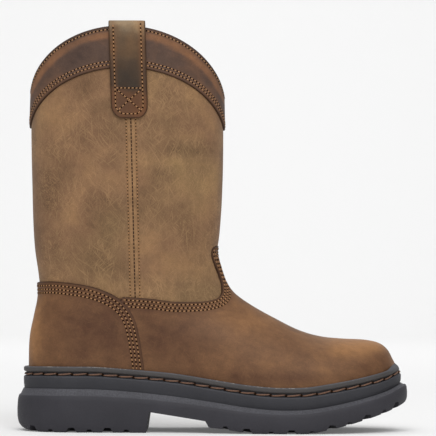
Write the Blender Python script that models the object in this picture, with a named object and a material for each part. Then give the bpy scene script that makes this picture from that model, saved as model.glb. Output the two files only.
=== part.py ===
"""Pull-on work boot for the right foot, standing empty on its sole.

All sizes are in millimetres. X runs from heel to toe, Y to the inner (medial) side and Z up.
The origin is on the floor, at the middle of the outsole's length and width.
"""

import bpy
import numpy as np

MM = 0.001

# Driving sizes of the last and the leather
HEEL_X = -145.4
LAST_HEEL_X = -144.9
TOE_X = 145.4
BALL_HALF_WIDTH = 47.0
BALL_X = 70.0
TOE_ROUNDNESS = 2.25
HEEL_ROUNDNESS = 2.2
WALL = 2.2
GAP = 0.3
SEAT_GAP = 0.5
VAMP_THICK = 1.6
COUNTER_THICK = 1.9
CUFF_THICK = 1.2

# Collar line: the low points at the back and front, and the rise at each side
COLLAR_BACK_Z = 272.0
COLLAR_FRONT_Z = 268.7
SCALLOP_RISE = 49.5
SCALLOP_SOFTNESS = 0.13

# Depth of the cuff below the collar line at the back and front, and what it gains at each side
CUFF_DEPTH_BACK = 31.0
CUFF_DEPTH_FRONT = 28.8
CUFF_DEPTH_SIDE_GAIN = 3.4

# Sole sizes: how far each edge stands out from the last, and heights below the top of the welt
WELT_INNER_REACH = 3.2
WELT_REACH = 5.6
WELT_HEIGHT = 5.1
STITCH_GROOVE = 2.6
SOLE_REACH = 10.6
CHAMFER_HEEL = 5.2
CHAMFER_TOE = 2.6
INSOLE_THICK = 4.0

# Mesh density
SIDE_STEPS = 12
SHAFT_ROWS = 5
SOLE_STEPS = 36
INSOLE_STEPS = 24


def table(columns, rows):
    """A short table as a dict of named columns."""
    return {name: np.array(values, float) for name, values in zip(columns, zip(*rows))}


# Plan of the last at its feather line: centre line and half width, before the heel and toe are rounded
PLAN = table(
    ("x", "centre", "half"),
    [
        (-146, -2.2, 33.5),
        (-110, -2.2, 33.8),
        (-70, -2.7, 33.5),
        (-35, -3.7, 34.0),
        (0, -3.7, 38.0),
        (30, -2.2, 43.5),
        (55, -0.7, 46.6),
        (70, 0.3, BALL_HALF_WIDTH),
        (100, 2.8, BALL_HALF_WIDTH),
        (146, 5.8, BALL_HALF_WIDTH),
    ],
)

# Lines of the sole seen from the side: top of the welt, shelf of the outsole, and the tread
SOLE_LINES = table(
    ("x", "welt", "shelf", "tread"),
    [
        (-157, 51.1, 33.6, 7.0),
        (-151, 51.2, 33.7, 3.0),
        (-146, 51.3, 33.8, 1.3),
        (-138, 51.6, 34.0, 0.2),
        (-130, 51.7, 34.1, 0.0),
        (-100, 51.8, 34.0, 0.0),
        (-65, 49.8, 32.1, 0.0),
        (-30, 46.8, 28.6, 0.0),
        (0, 42.2, 24.4, 0.0),
        (30, 37.8, 20.0, 0.0),
        (55, 36.1, 18.2, 0.0),
        (72, 36.4, 18.6, 0.0),
        (90, 38.9, 21.0, 2.8),
        (118, 44.1, 27.0, 10.0),
        (138, 49.2, 32.8, 16.6),
        (148, 53.3, 37.2, 20.6),
        (157, 53.9, 41.2, 24.5),
    ],
)

# Sections of the upper from the toe tip to the ankle. Each runs from its base, on the feather line
# or the back of the heel, up to the top line. It is straight up to roll_from, then rolls over.
SECTIONS = table(
    ("top_x", "top_z", "base_x", "base_z", "roll_from", "fullness"),
    [
        (TOE_X, 48.8, TOE_X, 48.8, 0.00, 2.3),
        (144.3, 53.0, 144.3, 48.0, 0.00, 2.3),
        (142.2, 57.2, 142.2, 47.0, 0.00, 2.3),
        (138.4, 64.0, 138.4, 45.0, 0.00, 2.3),
        (132.0, 68.6, 131.4, 43.0, 0.00, 2.3),
        (121.0, 70.9, 120.0, 40.0, 0.00, 2.3),
        (104.0, 71.7, 102.0, 37.0, 0.00, 2.2),
        (86.0, 73.5, 84.0, 33.6, 0.00, 2.15),
        (68.0, 78.6, 64.0, 31.7, 0.00, 2.1),
        (48.0, 88.4, 40.0, 32.2, 0.00, 2.05),
        (30.0, 98.4, 12.0, 35.8, 0.05, 2.0),
        (16.5, 108.0, -22.0, 41.2, 0.15, 2.0),
        (9.8, 117.0, -64.0, 45.2, 0.32, 2.0),
        (6.2, 126.0, -108.0, 47.0, 0.48, 2.05),
        (4.4, 133.0, -134.0, 47.0, 0.545, 2.1),
        (3.7, 137.0, LAST_HEEL_X, 46.7, 0.57, 2.1),
        (3.2, 141.5, LAST_HEEL_X, 62.0, 0.555, 2.1),
        (3.6, 147.0, -142.8, 84.0, 0.53, 2.1),
        (4.7, 154.5, -138.3, 108.0, 0.50, 2.1),
        (5.7, 166.0, -141.4, 134.0, 0.50, 2.1),
        (6.7, 182.0, -144.0, 164.0, 0.50, 2.1),
        (7.4, 202.0, -145.2, 196.0, 0.50, 2.1),
    ],
)
FIRST_DOUBLED_SECTION = 5
HEEL_SECTION = 15

# Back of the boot, and the half width and depth of its rounding, by height
BACK = table(
    ("z", "x", "half", "round_depth"),
    [
        (40, LAST_HEEL_X, 33.5, 41),
        (60, LAST_HEEL_X, 34.0, 42),
        (76, -144.1, 34.5, 45),
        (92, -141.0, 35.5, 52),
        (108, -138.3, 36.5, 62),
        (124, -139.8, 37.6, 70),
        (145, -142.9, 39.6, 73),
        (200, -145.4, 44.2, 76),
        (245, -146.3, 46.4, 77),
        (275, -145.6, 46.9, 77),
        (330, -145.0, 47.6, 77),
    ],
)
FRONT = table(("z", "x"), [(196, 7.2), (202, 7.4), (229, 7.7), (245, 7.6), (268, 7.1), (330, 6.6)])
FOOT_TO_SHAFT_Z = (70.0, 130.0)

# Panel edges seen from the side
VAMP_EDGE = table(
    ("x", "z"),
    [
        (-90, 107.5),
        (-61.9, 106.0),
        (-46.9, 104.8),
        (-28.9, 102.6),
        (-13.9, 102.5),
        (-2.9, 103.4),
        (3.9, 105.9),
        (6.5, 110.6),
        (6.3, 115.5),
        (3.6, 124.4),
        (0.4, 132.8),
        (-1.6, 140.2),
        (-0.8, 145.2),
        (2.6, 147.4),
        (20, 147.4),
    ],
)
COUNTER_EDGE = table(
    ("x", "z"),
    [
        (-165, 117.8),
        (-140, 118.0),
        (-128.9, 118.4),
        (-112.9, 117.2),
        (-95.9, 114.4),
        (-83.9, 110.4),
        (-73.9, 105.0),
        (-65.9, 97.2),
        (-60.5, 87.0),
        (-57.1, 73.6),
        (-54.9, 60.4),
        (-53.5, 50.4),
        (-52.5, 20.0),
    ],
)

# Pull straps: centre line, width, the fold over the collar and the lower ends
STRAP_TOP_X = -68.7
STRAP_FOOT_X = -65.9
STRAP_WIDTH = 28.8
STRAP_THICK = 2.2
STRAP_CORNER = 10.0
STRAP_OUTER_FOOT_Z = 246.7
STRAP_INNER_FOOT_Z = 272.0
STRAP_TOP_Z = 323.9
STRAP_STEPS_ACROSS = 4

# Arch cut under the outsole, seen from the side
ARCH = [(-53.0, -6.0), (-49.8, 16.4), (-5.6, 9.6), (-2.7, 4.6), (8.0, 3.6), (23.0, 1.1), (35.0, -0.6), (35.0, -6.0)]

# Notches along the edge of the tread: (x, is it a large one)
LARGE_NOTCH = {"width": 6.4, "depth": 3.8, "length": 27.0}
SMALL_NOTCH = {"width": 4.0, "depth": 2.4, "length": 15.0}
NOTCHES = [
    (-141.6, True),
    (-126.6, False),
    (-109.0, True),
    (-95.0, False),
    (-81.0, True),
    (-66.2, False),
    (9.0, False),
    (26.0, True),
    (44.6, False),
    (60.6, True),
    (76.5, False),
    (92.5, True),
    (106.4, False),
    (121.5, True),
    (135.1, False),
    (145.6, True),
]
CENTRE_SLOTS = (-105.0, -77.0, 36.5, 53.5, 70.5, 87.0, 102.0)
CENTRE_SLOT = {"width": 4.6, "depth": 2.6, "length": 34.0}


def smooth(xs, ys, at):
    """Monotone cubic through the table's points, so a level stretch stays level."""
    xs, ys, at = np.asarray(xs, float), np.asarray(ys, float), np.asarray(at, float)
    step, rise = np.diff(xs), np.diff(ys)
    slope = rise / step
    tangent = np.concatenate([slope[:1], (slope[:-1] + slope[1:]) / 2, slope[-1:]])
    tangent[1:-1] = np.where(slope[:-1] * slope[1:] <= 0, 0, tangent[1:-1])
    limit = 3 * np.minimum(
        np.abs(np.append(slope, slope[-1])), np.abs(np.insert(slope, 0, slope[0]))
    )
    tangent = np.clip(tangent, -limit, limit)
    at = np.clip(at, xs[0], xs[-1])
    i = np.clip(np.searchsorted(xs, at, side="right") - 1, 0, len(step) - 1)
    t = (at - xs[i]) / step[i]
    return (
        ys[i] * (1 + 2 * t) * (1 - t) ** 2
        + tangent[i] * step[i] * t * (1 - t) ** 2
        + ys[i + 1] * t**2 * (3 - 2 * t)
        + tangent[i + 1] * step[i] * t**2 * (t - 1)
    )


def look_up(data, key, column, at):
    return smooth(data[key], data[column], at)


def ease(value, low, high):
    t = np.clip((np.asarray(value, float) - low) / (high - low), 0, 1)
    return t * t * (3 - 2 * t)


def rounding(t, power):
    """A quarter of a superellipse: 0 at t = 0, rising to 1 at t = 1."""
    t = np.clip(t, 0, 1)
    return np.clip(1 - (1 - t) ** power, 0, 1) ** (1 / power)


def feather_z(x):
    """Height of the upper's lower edge, which stands on the midsole inside the welt."""
    return look_up(SOLE_LINES, "x", "welt", x) - WELT_HEIGHT + SEAT_GAP


def plan_half(x):
    """Half width of the last at the feather line, with its rounded toe."""
    toe = (TOE_X - np.asarray(x, float)) / (TOE_X - BALL_X)
    return look_up(PLAN, "x", "half", x) * rounding(toe, TOE_ROUNDNESS)


def centre_y(x, z):
    """The foot curves to the inner side, and the shaft stands straight above the heel."""
    return look_up(PLAN, "x", "centre", x) * (1 - ease(z, *FOOT_TO_SHAFT_Z))


def half_width(x, z, q, roll_from, fullness):
    """Half width of the upper where a section has come a share q of its way to the top line."""
    shaft_share = ease(z, *FOOT_TO_SHAFT_Z)
    width = (1 - shaft_share) * plan_half(x) + shaft_share * look_up(BACK, "z", "half", z)
    back_depth = look_up(BACK, "z", "round_depth", z)
    back = rounding((x - look_up(BACK, "z", "x", z)) / back_depth, HEEL_ROUNDNESS)
    top = rounding((1 - q) / (1 - roll_from), fullness)
    return width * back * top


def shaft_surface(x, z):
    """Distance of the shaft's outer face from its middle plane at a point seen from the side."""
    back_x, front_x = look_up(BACK, "z", "x", z), look_up(FRONT, "z", "x", z)
    q = (x - back_x) / (front_x - back_x)
    return half_width(x, z, q, SECTIONS["roll_from"][-1], SECTIONS["fullness"][-1])


def scallop(q):
    """Share of the collar's rise: 0 at the back and front, 1 at the side."""
    side = np.clip(4 * q * (1 - q), 0, 1)
    soft = SCALLOP_SOFTNESS
    return (np.sqrt(side + soft**2) - soft) / (np.sqrt(1 + soft**2) - soft)


def collar_z(q):
    return COLLAR_BACK_Z + (COLLAR_FRONT_Z - COLLAR_BACK_Z) * q + SCALLOP_RISE * scallop(q)


def cuff_depth(q):
    return CUFF_DEPTH_BACK + (CUFF_DEPTH_FRONT - CUFF_DEPTH_BACK) * q + CUFF_DEPTH_SIDE_GAIN * scallop(q)


def section_rows():
    """Rows of (x, z, half width) along the boot, each from its base to the top line."""
    q = (1 - np.cos(np.linspace(0, np.pi, SIDE_STEPS + 1))) / 2
    numbers = np.arange(len(SECTIONS["top_x"]))
    doubled = np.arange(FIRST_DOUBLED_SECTION, HEEL_SECTION) + 0.5
    rows = []
    for at in np.sort(np.concatenate([numbers, doubled])):
        row = {name: smooth(numbers, column, at) for name, column in SECTIONS.items()}
        if at <= HEEL_SECTION:
            row["base_z"] = feather_z(row["base_x"])
        else:
            row["base_x"] = look_up(BACK, "z", "x", row["base_z"])
        if at == 0:
            row["top_z"] = row["base_z"]
        x = row["base_x"] + q * (row["top_x"] - row["base_x"])
        z = row["base_z"] + q * (row["top_z"] - row["base_z"])
        rows.append((x, z, half_width(x, z, q, row["roll_from"], row["fullness"])))
    start_z = rows[-1][1]
    for share in np.linspace(0, 1, SHAFT_ROWS + 1)[1:]:
        z = start_z + share * (collar_z(q) - start_z)
        back_x, front_x = look_up(BACK, "z", "x", z), look_up(FRONT, "z", "x", z)
        x = back_x + q * (front_x - back_x)
        rows.append((x, z, shaft_surface(x, z)))
    return rows


def new_object(name, points, faces, material=None):
    """An object from points in millimetres, with near points merged and its faces turned outwards."""
    mesh = bpy.data.meshes.new(name)
    mesh.from_pydata([tuple(MM * c for c in p) for p in points], [], faces)
    obj = bpy.data.objects.new(name, mesh)
    bpy.context.scene.collection.objects.link(obj)
    bpy.ops.object.select_all(action="DESELECT")
    bpy.context.view_layer.objects.active = obj
    obj.select_set(True)
    bpy.ops.object.mode_set(mode="EDIT")
    bpy.ops.mesh.select_all(action="SELECT")
    bpy.ops.mesh.remove_doubles(threshold=0.01 * MM)
    bpy.ops.mesh.normals_make_consistent(inside=False)
    bpy.ops.object.mode_set(mode="OBJECT")
    if material:
        mesh.materials.append(material)
    mesh.shade_smooth()
    mesh.set_sharp_from_angle(angle=np.radians(35))
    return obj


def as_helper(obj):
    obj.hide_render = True
    obj.display_type = "WIRE"
    return obj


def material(name, colour, roughness):
    made = bpy.data.materials.new(name)
    made.use_nodes = True
    shader = made.node_tree.nodes["Principled BSDF"]
    shader.inputs["Base Color"].default_value = (*colour, 1)
    shader.inputs["Roughness"].default_value = roughness
    shader.inputs["Metallic"].default_value = 0.0
    return made


def leather_skin(name, finish):
    """The outer face of the whole upper, open at the collar and underneath."""
    rows = section_rows()
    points, faces = [], []
    for x, z, half in rows:
        middle = centre_y(x, z)
        lateral = list(zip(x, middle - half, z))
        medial = list(zip(x, middle + half, z))
        points += lateral + medial[-2::-1]
    across = 2 * SIDE_STEPS + 1
    for row in range(len(rows) - 1):
        for i in range(across - 1):
            a = row * across + i
            faces.append((a, a + 1, a + across + 1, a + across))
    skin = new_object(name, points, faces, finish)
    bpy.ops.object.mode_set(mode="EDIT")
    bpy.ops.mesh.select_all(action="SELECT")
    bpy.ops.mesh.quads_convert_to_tris(quad_method="SHORTEST_DIAGONAL")
    bpy.ops.object.mode_set(mode="OBJECT")
    return skin


def add_solidify(obj, thickness, offset):
    wall = obj.modifiers.new("wall", "SOLIDIFY")
    wall.thickness = thickness * MM
    wall.offset = offset
    wall.use_even_offset = True
    return obj


def make_upper(finish):
    """Shaft and foot in one hollow wall, whose outer face is the skin."""
    return add_solidify(leather_skin("upper", finish), WALL, -1)


def side_prism(name, outline, reach=130.0):
    """A helper: an outline seen from the side, drawn right through the boot."""
    count = len(outline)
    points = [(x, y, z) for y in (-reach, reach) for x, z in outline]
    faces = [tuple(range(count)), tuple(range(2 * count - 1, count - 1, -1))]
    for i in range(count):
        j = (i + 1) % count
        faces.append((i, i + count, j + count, j))
    return as_helper(new_object(name, points, faces))


def edge_curve(edge, steps=28):
    """A smooth curve through a panel edge's points, by the length along it."""
    run = np.hypot(np.diff(edge["x"]), np.diff(edge["z"]))
    length = np.concatenate([[0], np.cumsum(run)])
    at = np.linspace(0, length[-1], steps)
    return np.stack([smooth(length, edge["x"], at), smooth(length, edge["z"], at)], axis=1)


def beside(curve, distance):
    """The curve moved to its right-hand side, seen from the side of the boot."""
    run = np.gradient(curve, axis=0)
    run /= np.linalg.norm(run, axis=1)[:, None]
    return curve + distance * np.stack([run[:, 1], -run[:, 0]], axis=1)


def make_overlay(name, outline, thickness, finish):
    """A leather piece lying on the upper: the shell between two forms of the skin, cut to its outline."""
    piece = leather_skin(name, finish)
    lift = piece.modifiers.new("lift", "DISPLACE")
    lift.mid_level = 0.0
    lift.strength = GAP * MM
    add_solidify(piece, thickness, 1)
    cut = piece.modifiers.new("outline", "BOOLEAN")
    cut.operation = "INTERSECT"
    cut.object = side_prism(name + "_outline", outline)
    return piece


def lower_edge(start, end, steps=16):
    """The lower edge of a leather piece, a little above the upper's own."""
    x = np.linspace(start, end, steps)
    return list(zip(x, feather_z(x) + GAP))


def make_vamp(finish):
    """Front of the foot, with a tab up the instep; its rear edge butts against the counter."""
    counter = beside(edge_curve(COUNTER_EDGE), -GAP)
    vamp = edge_curve(VAMP_EDGE, steps=34)
    apart = np.linalg.norm(counter[:, None] - vamp[None], axis=2)
    start, joined = np.unravel_index(np.argmin(apart), apart.shape)
    front = 165.0
    counter = counter[start:]
    counter = counter[counter[:, 1] > feather_z(counter[:, 0]) + 2]
    outline = lower_edge(counter[-1][0], front) + [(front, vamp[-1][1])]
    outline += [tuple(p) for p in vamp[:joined:-1]] + [tuple(p) for p in counter]
    return make_overlay("vamp", outline, VAMP_THICK, finish)


def make_counter(finish):
    """Heel piece, thicker than the vamp, so that its edge stands proud of it."""
    edge = edge_curve(COUNTER_EDGE)
    edge = edge[edge[:, 1] > feather_z(edge[:, 0]) + 2]
    outline = lower_edge(edge[-1][0], edge[0][0]) + [tuple(p) for p in edge]
    return make_overlay("counter", outline, COUNTER_THICK, finish)


def make_cuff(finish):
    """Band round the collar, following the scallop."""
    q = (1 - np.cos(np.linspace(0, np.pi, 33))) / 2
    z = collar_z(q) - cuff_depth(q)
    outside = GAP + CUFF_THICK
    back_x = look_up(BACK, "z", "x", z) - outside
    front_x = look_up(FRONT, "z", "x", z) + outside
    x = back_x + q * (front_x - back_x)
    past, high = 25.0, 345.0
    outline = [(x[0] - past, z[0]), *zip(x, z), (x[-1] + past, z[-1])]
    outline += [(x[-1] + past, high), (x[0] - past, high)]
    return make_overlay("cuff", outline, CUFF_THICK, finish)


def strap_path():
    """Heights along the pull strap and its distance from the skin, from the outer end to the inner end."""
    cuff_face = GAP + CUFF_THICK + GAP
    outer, inner = cuff_face + STRAP_THICK / 2, -(WALL + SEAT_GAP + GAP + STRAP_THICK / 2)
    side_q = 0.5
    collar = float(collar_z(side_q))
    cuff_low = collar - float(cuff_depth(side_q))
    on_shaft = GAP + STRAP_THICK / 2
    fold = (outer - inner) / 2
    fold_z = STRAP_TOP_Z - STRAP_THICK / 2 - fold
    path = [(STRAP_OUTER_FOOT_Z + rise, on_shaft) for rise in (0, 3, 8)]
    path += [(cuff_low - 11, on_shaft), (cuff_low - 5, on_shaft + 0.35 * (outer - on_shaft))]
    path += [(cuff_low - 1.5, outer), (cuff_low + 10, outer), (fold_z, outer)]
    for turn in np.linspace(0, np.pi, 7)[1:-1]:
        path.append((fold_z + fold * np.sin(turn), inner + fold * (1 + np.cos(turn))))
    path += [(fold_z, inner), ((fold_z + STRAP_INNER_FOOT_Z) / 2, inner), (STRAP_INNER_FOOT_Z, inner)]
    return path


def strap_half(z, is_outer):
    """Half the strap's width, with rounded corners at its outer lower end."""
    past = STRAP_CORNER - (z - STRAP_OUTER_FOOT_Z)
    corner = STRAP_CORNER - np.sqrt(max(STRAP_CORNER**2 - max(past, 0) ** 2, 0))
    return STRAP_WIDTH / 2 - (corner if is_outer else 0)


def make_strap(name, side, finish):
    """A pull strap folded over the collar and following the shaft on both of its faces."""
    path = np.array(strap_path())
    run = np.gradient(path, axis=0)
    run /= np.linalg.norm(run, axis=1)[:, None]
    peak = int(np.argmax(path[:, 0]))
    points, faces = [], []
    across = STRAP_STEPS_ACROSS + 1
    for layer in (1, -1):
        for i, (z, away) in enumerate(path):
            lean = (z - STRAP_OUTER_FOOT_Z) / (STRAP_TOP_Z - STRAP_OUTER_FOOT_Z)
            middle = STRAP_FOOT_X + lean * (STRAP_TOP_X - STRAP_FOOT_X)
            half = strap_half(z, i < peak)
            thick_z = -layer * STRAP_THICK / 2 * run[i][1]
            thick_y = layer * STRAP_THICK / 2 * run[i][0]
            for x in np.linspace(middle - half, middle + half, across):
                skin = float(shaft_surface(x, min(z, COLLAR_BACK_Z + SCALLOP_RISE)))
                points.append((x, side * (skin + away + thick_y), z + thick_z))
    rows = len(path)

    def at(layer, row, i):
        return (layer * rows + row) * across + i

    for row in range(rows - 1):
        for i in range(across - 1):
            for layer in (0, 1):
                faces.append([at(layer, r, c) for r, c in ((row, i), (row, i + 1), (row + 1, i + 1), (row + 1, i))])
        for i in (0, across - 1):
            faces.append([at(0, row, i), at(0, row + 1, i), at(1, row + 1, i), at(1, row, i)])
    for row in (0, rows - 1):
        for i in range(across - 1):
            faces.append([at(0, row, i), at(0, row, i + 1), at(1, row, i + 1), at(1, row, i)])
    return new_object(name, points, faces, finish)


def plan_curve(reach, steps=400):
    """The last's plan moved outwards by reach: two arrays of points from heel to toe, outer and inner side."""
    x = HEEL_X + (TOE_X - HEEL_X) * (1 - np.cos(np.linspace(0, np.pi, steps))) / 2
    z = feather_z(HEEL_X)
    half = plan_half(x) * rounding((x - HEEL_X) / look_up(BACK, "z", "round_depth", z), HEEL_ROUNDNESS)
    middle = look_up(PLAN, "x", "centre", x)
    loop = np.concatenate([np.stack([x, middle - half], 1), np.stack([x, middle + half], 1)[-2:0:-1]])
    run = np.roll(loop, -1, axis=0) - np.roll(loop, 1, axis=0)
    run /= np.linalg.norm(run, axis=1)[:, None]
    moved = loop + reach * np.stack([run[:, 1], -run[:, 0]], axis=1)
    return moved[:steps], np.concatenate([moved[steps - 1 :], moved[:1]])[::-1]


def sole_ring(reach, steps=SOLE_STEPS):
    """Stations of an outline of the sole: x, outer y and inner y, from heel to toe."""
    lateral, medial = plan_curve(reach)
    low, high = lateral[:, 0].min(), lateral[:, 0].max()
    x = low + (high - low) * (1 - np.cos(np.linspace(0, np.pi, steps + 1))) / 2
    sides = []
    for curve in (lateral, medial):
        order = np.argsort(curve[:, 0])
        sides.append(np.interp(x, curve[order, 0], curve[order, 1]))
    ends = [0, -1]
    tips = (sides[0][ends] + sides[1][ends]) / 2
    for side in sides:
        side[ends] = tips
    return x, sides[0], sides[1]


def stacked_rings(name, rings, finish, is_ring_shaped=False):
    """A solid through outlines, each (reach, height by x), closed by ruled caps or back onto the first one."""
    points, faces = [], []
    steps = INSOLE_STEPS if name == "insole" else SOLE_STEPS
    count = 2 * steps
    for reach, height in rings:
        x, lateral, medial = sole_ring(reach, steps)
        z = height(x) * np.ones_like(x)
        points += list(zip(x, lateral, z)) + list(zip(x, medial, z))[-2:0:-1]
    for ring in range(len(rings) if is_ring_shaped else len(rings) - 1):
        below = ((ring + 1) % len(rings)) * count
        for i in range(count):
            j = (i + 1) % count
            faces.append((ring * count + i, ring * count + j, below + j, below + i))
    if not is_ring_shaped:
        for start in (0, (len(rings) - 1) * count):
            for i in range(steps):
                far, near = (count - i) % count, count - i - 1
                faces.append([start + c for c in dict.fromkeys((i, i + 1, near, far))])
    return new_object(name, points, faces, finish)


def line(column, drop=0.0):
    """A line of the sole as a function of x, lowered by drop."""
    return lambda x: look_up(SOLE_LINES, "x", column, x) - drop


def chamfer_z(x):
    share = ease(x, HEEL_X, TOE_X)
    return line("shelf")(x) - (CHAMFER_HEEL + share * (CHAMFER_TOE - CHAMFER_HEEL))


def make_welt(finish):
    """Rubber bead round the upper, resting on the midsole."""
    outer, crest = WELT_REACH, WELT_INNER_REACH + 1.1
    rings = [
        (WELT_INNER_REACH, line("welt", WELT_HEIGHT - GAP)),
        (WELT_INNER_REACH, line("welt", 0.7)),
        (crest, line("welt")),
        (outer - 0.7, line("welt", 0.9)),
        (outer, line("welt", 2.4)),
        (outer - 0.5, line("welt", 4.0)),
        (outer - 1.7, line("welt", WELT_HEIGHT - GAP)),
    ]
    return stacked_rings("welt", rings, finish, is_ring_shaped=True)


def make_midsole(finish):
    """Rubber midsole with the groove for the welt stitch round its top."""
    inner = WELT_REACH - 2.0
    top, groove = WELT_HEIGHT, WELT_HEIGHT + STITCH_GROOVE
    rings = [
        (inner, line("welt", top)),
        (inner, line("welt", groove)),
        (WELT_REACH - 0.5, line("welt", groove + 0.5)),
        (WELT_REACH, line("welt", groove + 2.5)),
        (WELT_REACH - 0.6, line("shelf", -GAP)),
    ]
    return stacked_rings("midsole", rings, finish)


def make_insole(finish):
    """Footbed inside the upper, on the midsole."""
    edge = -(WALL + 1.7)
    rings = [
        (edge - 2.0, line("welt", WELT_HEIGHT - GAP - INSOLE_THICK)),
        (edge, line("welt", WELT_HEIGHT - GAP - INSOLE_THICK * 0.45)),
        (edge, line("welt", WELT_HEIGHT - GAP)),
    ]
    return stacked_rings("insole", rings, finish)


def between(top, bottom, share):
    return lambda x: top(x) + share * (bottom(x) - top(x))


def notch_cutters():
    """Boxes that cut the lugs: one run of them along both edges, and slots across the middle."""
    points, faces = [], []

    def add_box(x, y, along, size, top):
        across = np.array([-along[1], along[0]])
        start = len(points)
        for z in (-12.0, top + size["depth"]):
            for end in (0, size["length"]):
                for w in (-size["width"] / 2, size["width"] / 2):
                    spot = np.array([x, y]) + end * along + w * across
                    points.append((*spot, z))
        corners = ((0, 1, 3, 2), (4, 6, 7, 5), (0, 4, 5, 1), (2, 3, 7, 6), (0, 2, 6, 4), (1, 5, 7, 3))
        faces.extend([start + c for c in corner] for corner in corners)

    for curve, turn in zip(plan_curve(SOLE_REACH + 3.0), (1, -1)):
        run = np.gradient(curve, axis=0)
        run /= np.linalg.norm(run, axis=1)[:, None]
        inward = turn * np.stack([-run[:, 1], run[:, 0]], axis=1)
        for x, is_large in NOTCHES:
            i = int(np.argmin(np.abs(curve[:, 0] - x * (1 + 3.0 / TOE_X))))
            tread = float(line("tread")(curve[i, 0]))
            add_box(*curve[i], inward[i], LARGE_NOTCH if is_large else SMALL_NOTCH, tread)
    for x in CENTRE_SLOTS:
        start_y = float(look_up(PLAN, "x", "centre", x)) - CENTRE_SLOT["length"] / 2
        add_box(x, start_y, np.array([0.0, 1.0]), CENTRE_SLOT, float(line("tread")(x)))
    return as_helper(new_object("notch_cutters", points, faces))


def make_outsole(finish):
    """Heel, arch and forefoot in one rubber piece with a chamfered shelf and lugs."""
    tread = line("tread")
    rings = [
        (WELT_REACH - 0.6, line("shelf")),
        (SOLE_REACH - 1.4, chamfer_z),
        (SOLE_REACH - 0.2, between(chamfer_z, tread, 0.25)),
        (SOLE_REACH, between(chamfer_z, tread, 0.55)),
        (SOLE_REACH - 0.5, between(chamfer_z, tread, 0.85)),
        (SOLE_REACH - 2.6, tread),
    ]
    outsole = stacked_rings("outsole", rings, finish)
    for cutter in (side_prism("arch_cutter", ARCH), notch_cutters()):
        cut = outsole.modifiers.new(cutter.name, "BOOLEAN")
        cut.operation = "DIFFERENCE"
        cut.object = cutter
    return outsole


def centre_plan():
    """Moves the plan sideways so that the outsole's widest points lie the same distance from the origin."""
    lateral, medial = plan_curve(SOLE_REACH)
    PLAN["centre"] -= (lateral[:, 1].min() + medial[:, 1].max()) / 2


def main():
    for obj in list(bpy.data.objects):
        bpy.data.objects.remove(obj)
    centre_plan()
    shaft_leather = material("shaft_leather", (0.24, 0.155, 0.080), 0.60)
    foot_leather = material("foot_leather", (0.155, 0.080, 0.040), 0.50)
    cuff_leather = material("cuff_leather", (0.105, 0.062, 0.040), 0.48)
    rubber = material("sole_rubber", (0.052, 0.051, 0.054), 0.62)
    footbed = material("footbed", (0.20, 0.15, 0.10), 0.85)
    make_outsole(rubber)
    make_midsole(rubber)
    make_welt(rubber)
    make_insole(footbed)
    make_upper(shaft_leather)
    make_vamp(foot_leather)
    make_counter(foot_leather)
    make_cuff(cuff_leather)
    make_strap("pull_strap_lateral", -1, cuff_leather)
    make_strap("pull_strap_medial", 1, cuff_leather)


main()
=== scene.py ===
"""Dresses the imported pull-on boot: leather panels, stitching, pull straps, a lugged sole and a plain stage.

Sizes inside the shape functions are in millimetres. X runs from heel to toe, Y to the inner side, Z up.
"""

import math

import bpy
import numpy as np
from bpy.props import FloatProperty, FloatVectorProperty, PointerProperty
from mathutils import Euler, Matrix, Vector
from mathutils.bvhtree import BVHTree


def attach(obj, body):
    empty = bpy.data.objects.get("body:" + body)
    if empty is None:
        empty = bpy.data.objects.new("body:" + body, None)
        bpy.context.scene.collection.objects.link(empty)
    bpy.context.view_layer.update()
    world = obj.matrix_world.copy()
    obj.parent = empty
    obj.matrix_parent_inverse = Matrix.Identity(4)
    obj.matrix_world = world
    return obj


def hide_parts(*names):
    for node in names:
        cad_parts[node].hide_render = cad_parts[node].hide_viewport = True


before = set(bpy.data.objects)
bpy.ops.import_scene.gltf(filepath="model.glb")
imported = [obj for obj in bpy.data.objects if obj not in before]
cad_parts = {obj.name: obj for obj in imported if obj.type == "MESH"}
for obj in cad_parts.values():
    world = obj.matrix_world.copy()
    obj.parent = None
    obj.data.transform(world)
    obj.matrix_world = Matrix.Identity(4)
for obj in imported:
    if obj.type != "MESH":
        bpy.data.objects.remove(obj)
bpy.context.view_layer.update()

bl_info = {
    "name": "Pull-on Boot Dresser",
    "version": (1, 0, 0),
    "blender": (4, 5, 0),
    "location": "View3D > Sidebar > Boot",
    "description": "Leather panels, stitching and sole of a pull-on work boot",
    "category": "Object",
}

MM = 0.001
BODY = "root"

# Last and leather, as in the solids
HEEL_X = -145.4
LAST_HEEL_X = -144.9
TOE_X = 145.4
BALL_HALF_WIDTH = 47.0
BALL_X = 70.0
TOE_ROUNDNESS = 2.25
HEEL_ROUNDNESS = 2.2
WALL = 2.2
LIFT = 0.3
SEAT_GAP = 0.5
COLLAR_BACK_Z = 272.0
COLLAR_FRONT_Z = 268.7
SCALLOP_RISE = 49.5
SCALLOP_SOFTNESS = 0.13
CUFF_DEPTH_BACK = 31.0
CUFF_DEPTH_FRONT = 28.8
CUFF_DEPTH_SIDE_GAIN = 3.4
FOOT_TO_SHAFT_Z = (70.0, 130.0)

# Sole: how far its edges stand out from the last, and heights below the top of the welt
WELT_INNER_REACH = 3.2
WELT_REACH = 5.6
WELT_HEIGHT = 5.1
STITCH_GROOVE = 2.6
SOLE_REACH = 10.6
CHAMFER_HEEL = 5.2
CHAMFER_TOE = 2.6
TOE_FALL = 1.65
TOE_PULL = 0.45
TOE_TIP_X = (137.0, 145.0)
# Bead of the welt: section from its top round to its foot, and the turns that carry light flecks, partly scuffs
# and partly a painted highlight line
BEAD_TURNS = np.radians(np.linspace(100, -75, 12))
BEAD_CENTRE_DROP = 1.6
BEAD_LOWER_STRETCH = 1.9
BEAD_TUCK = 1.2
FLECK_HIGHLIGHT_TURNS = (0.85, 1.5)
FLECK_HIGHLIGHT_LEVEL = 1.8
CORD_INSET = 1.1

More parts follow.
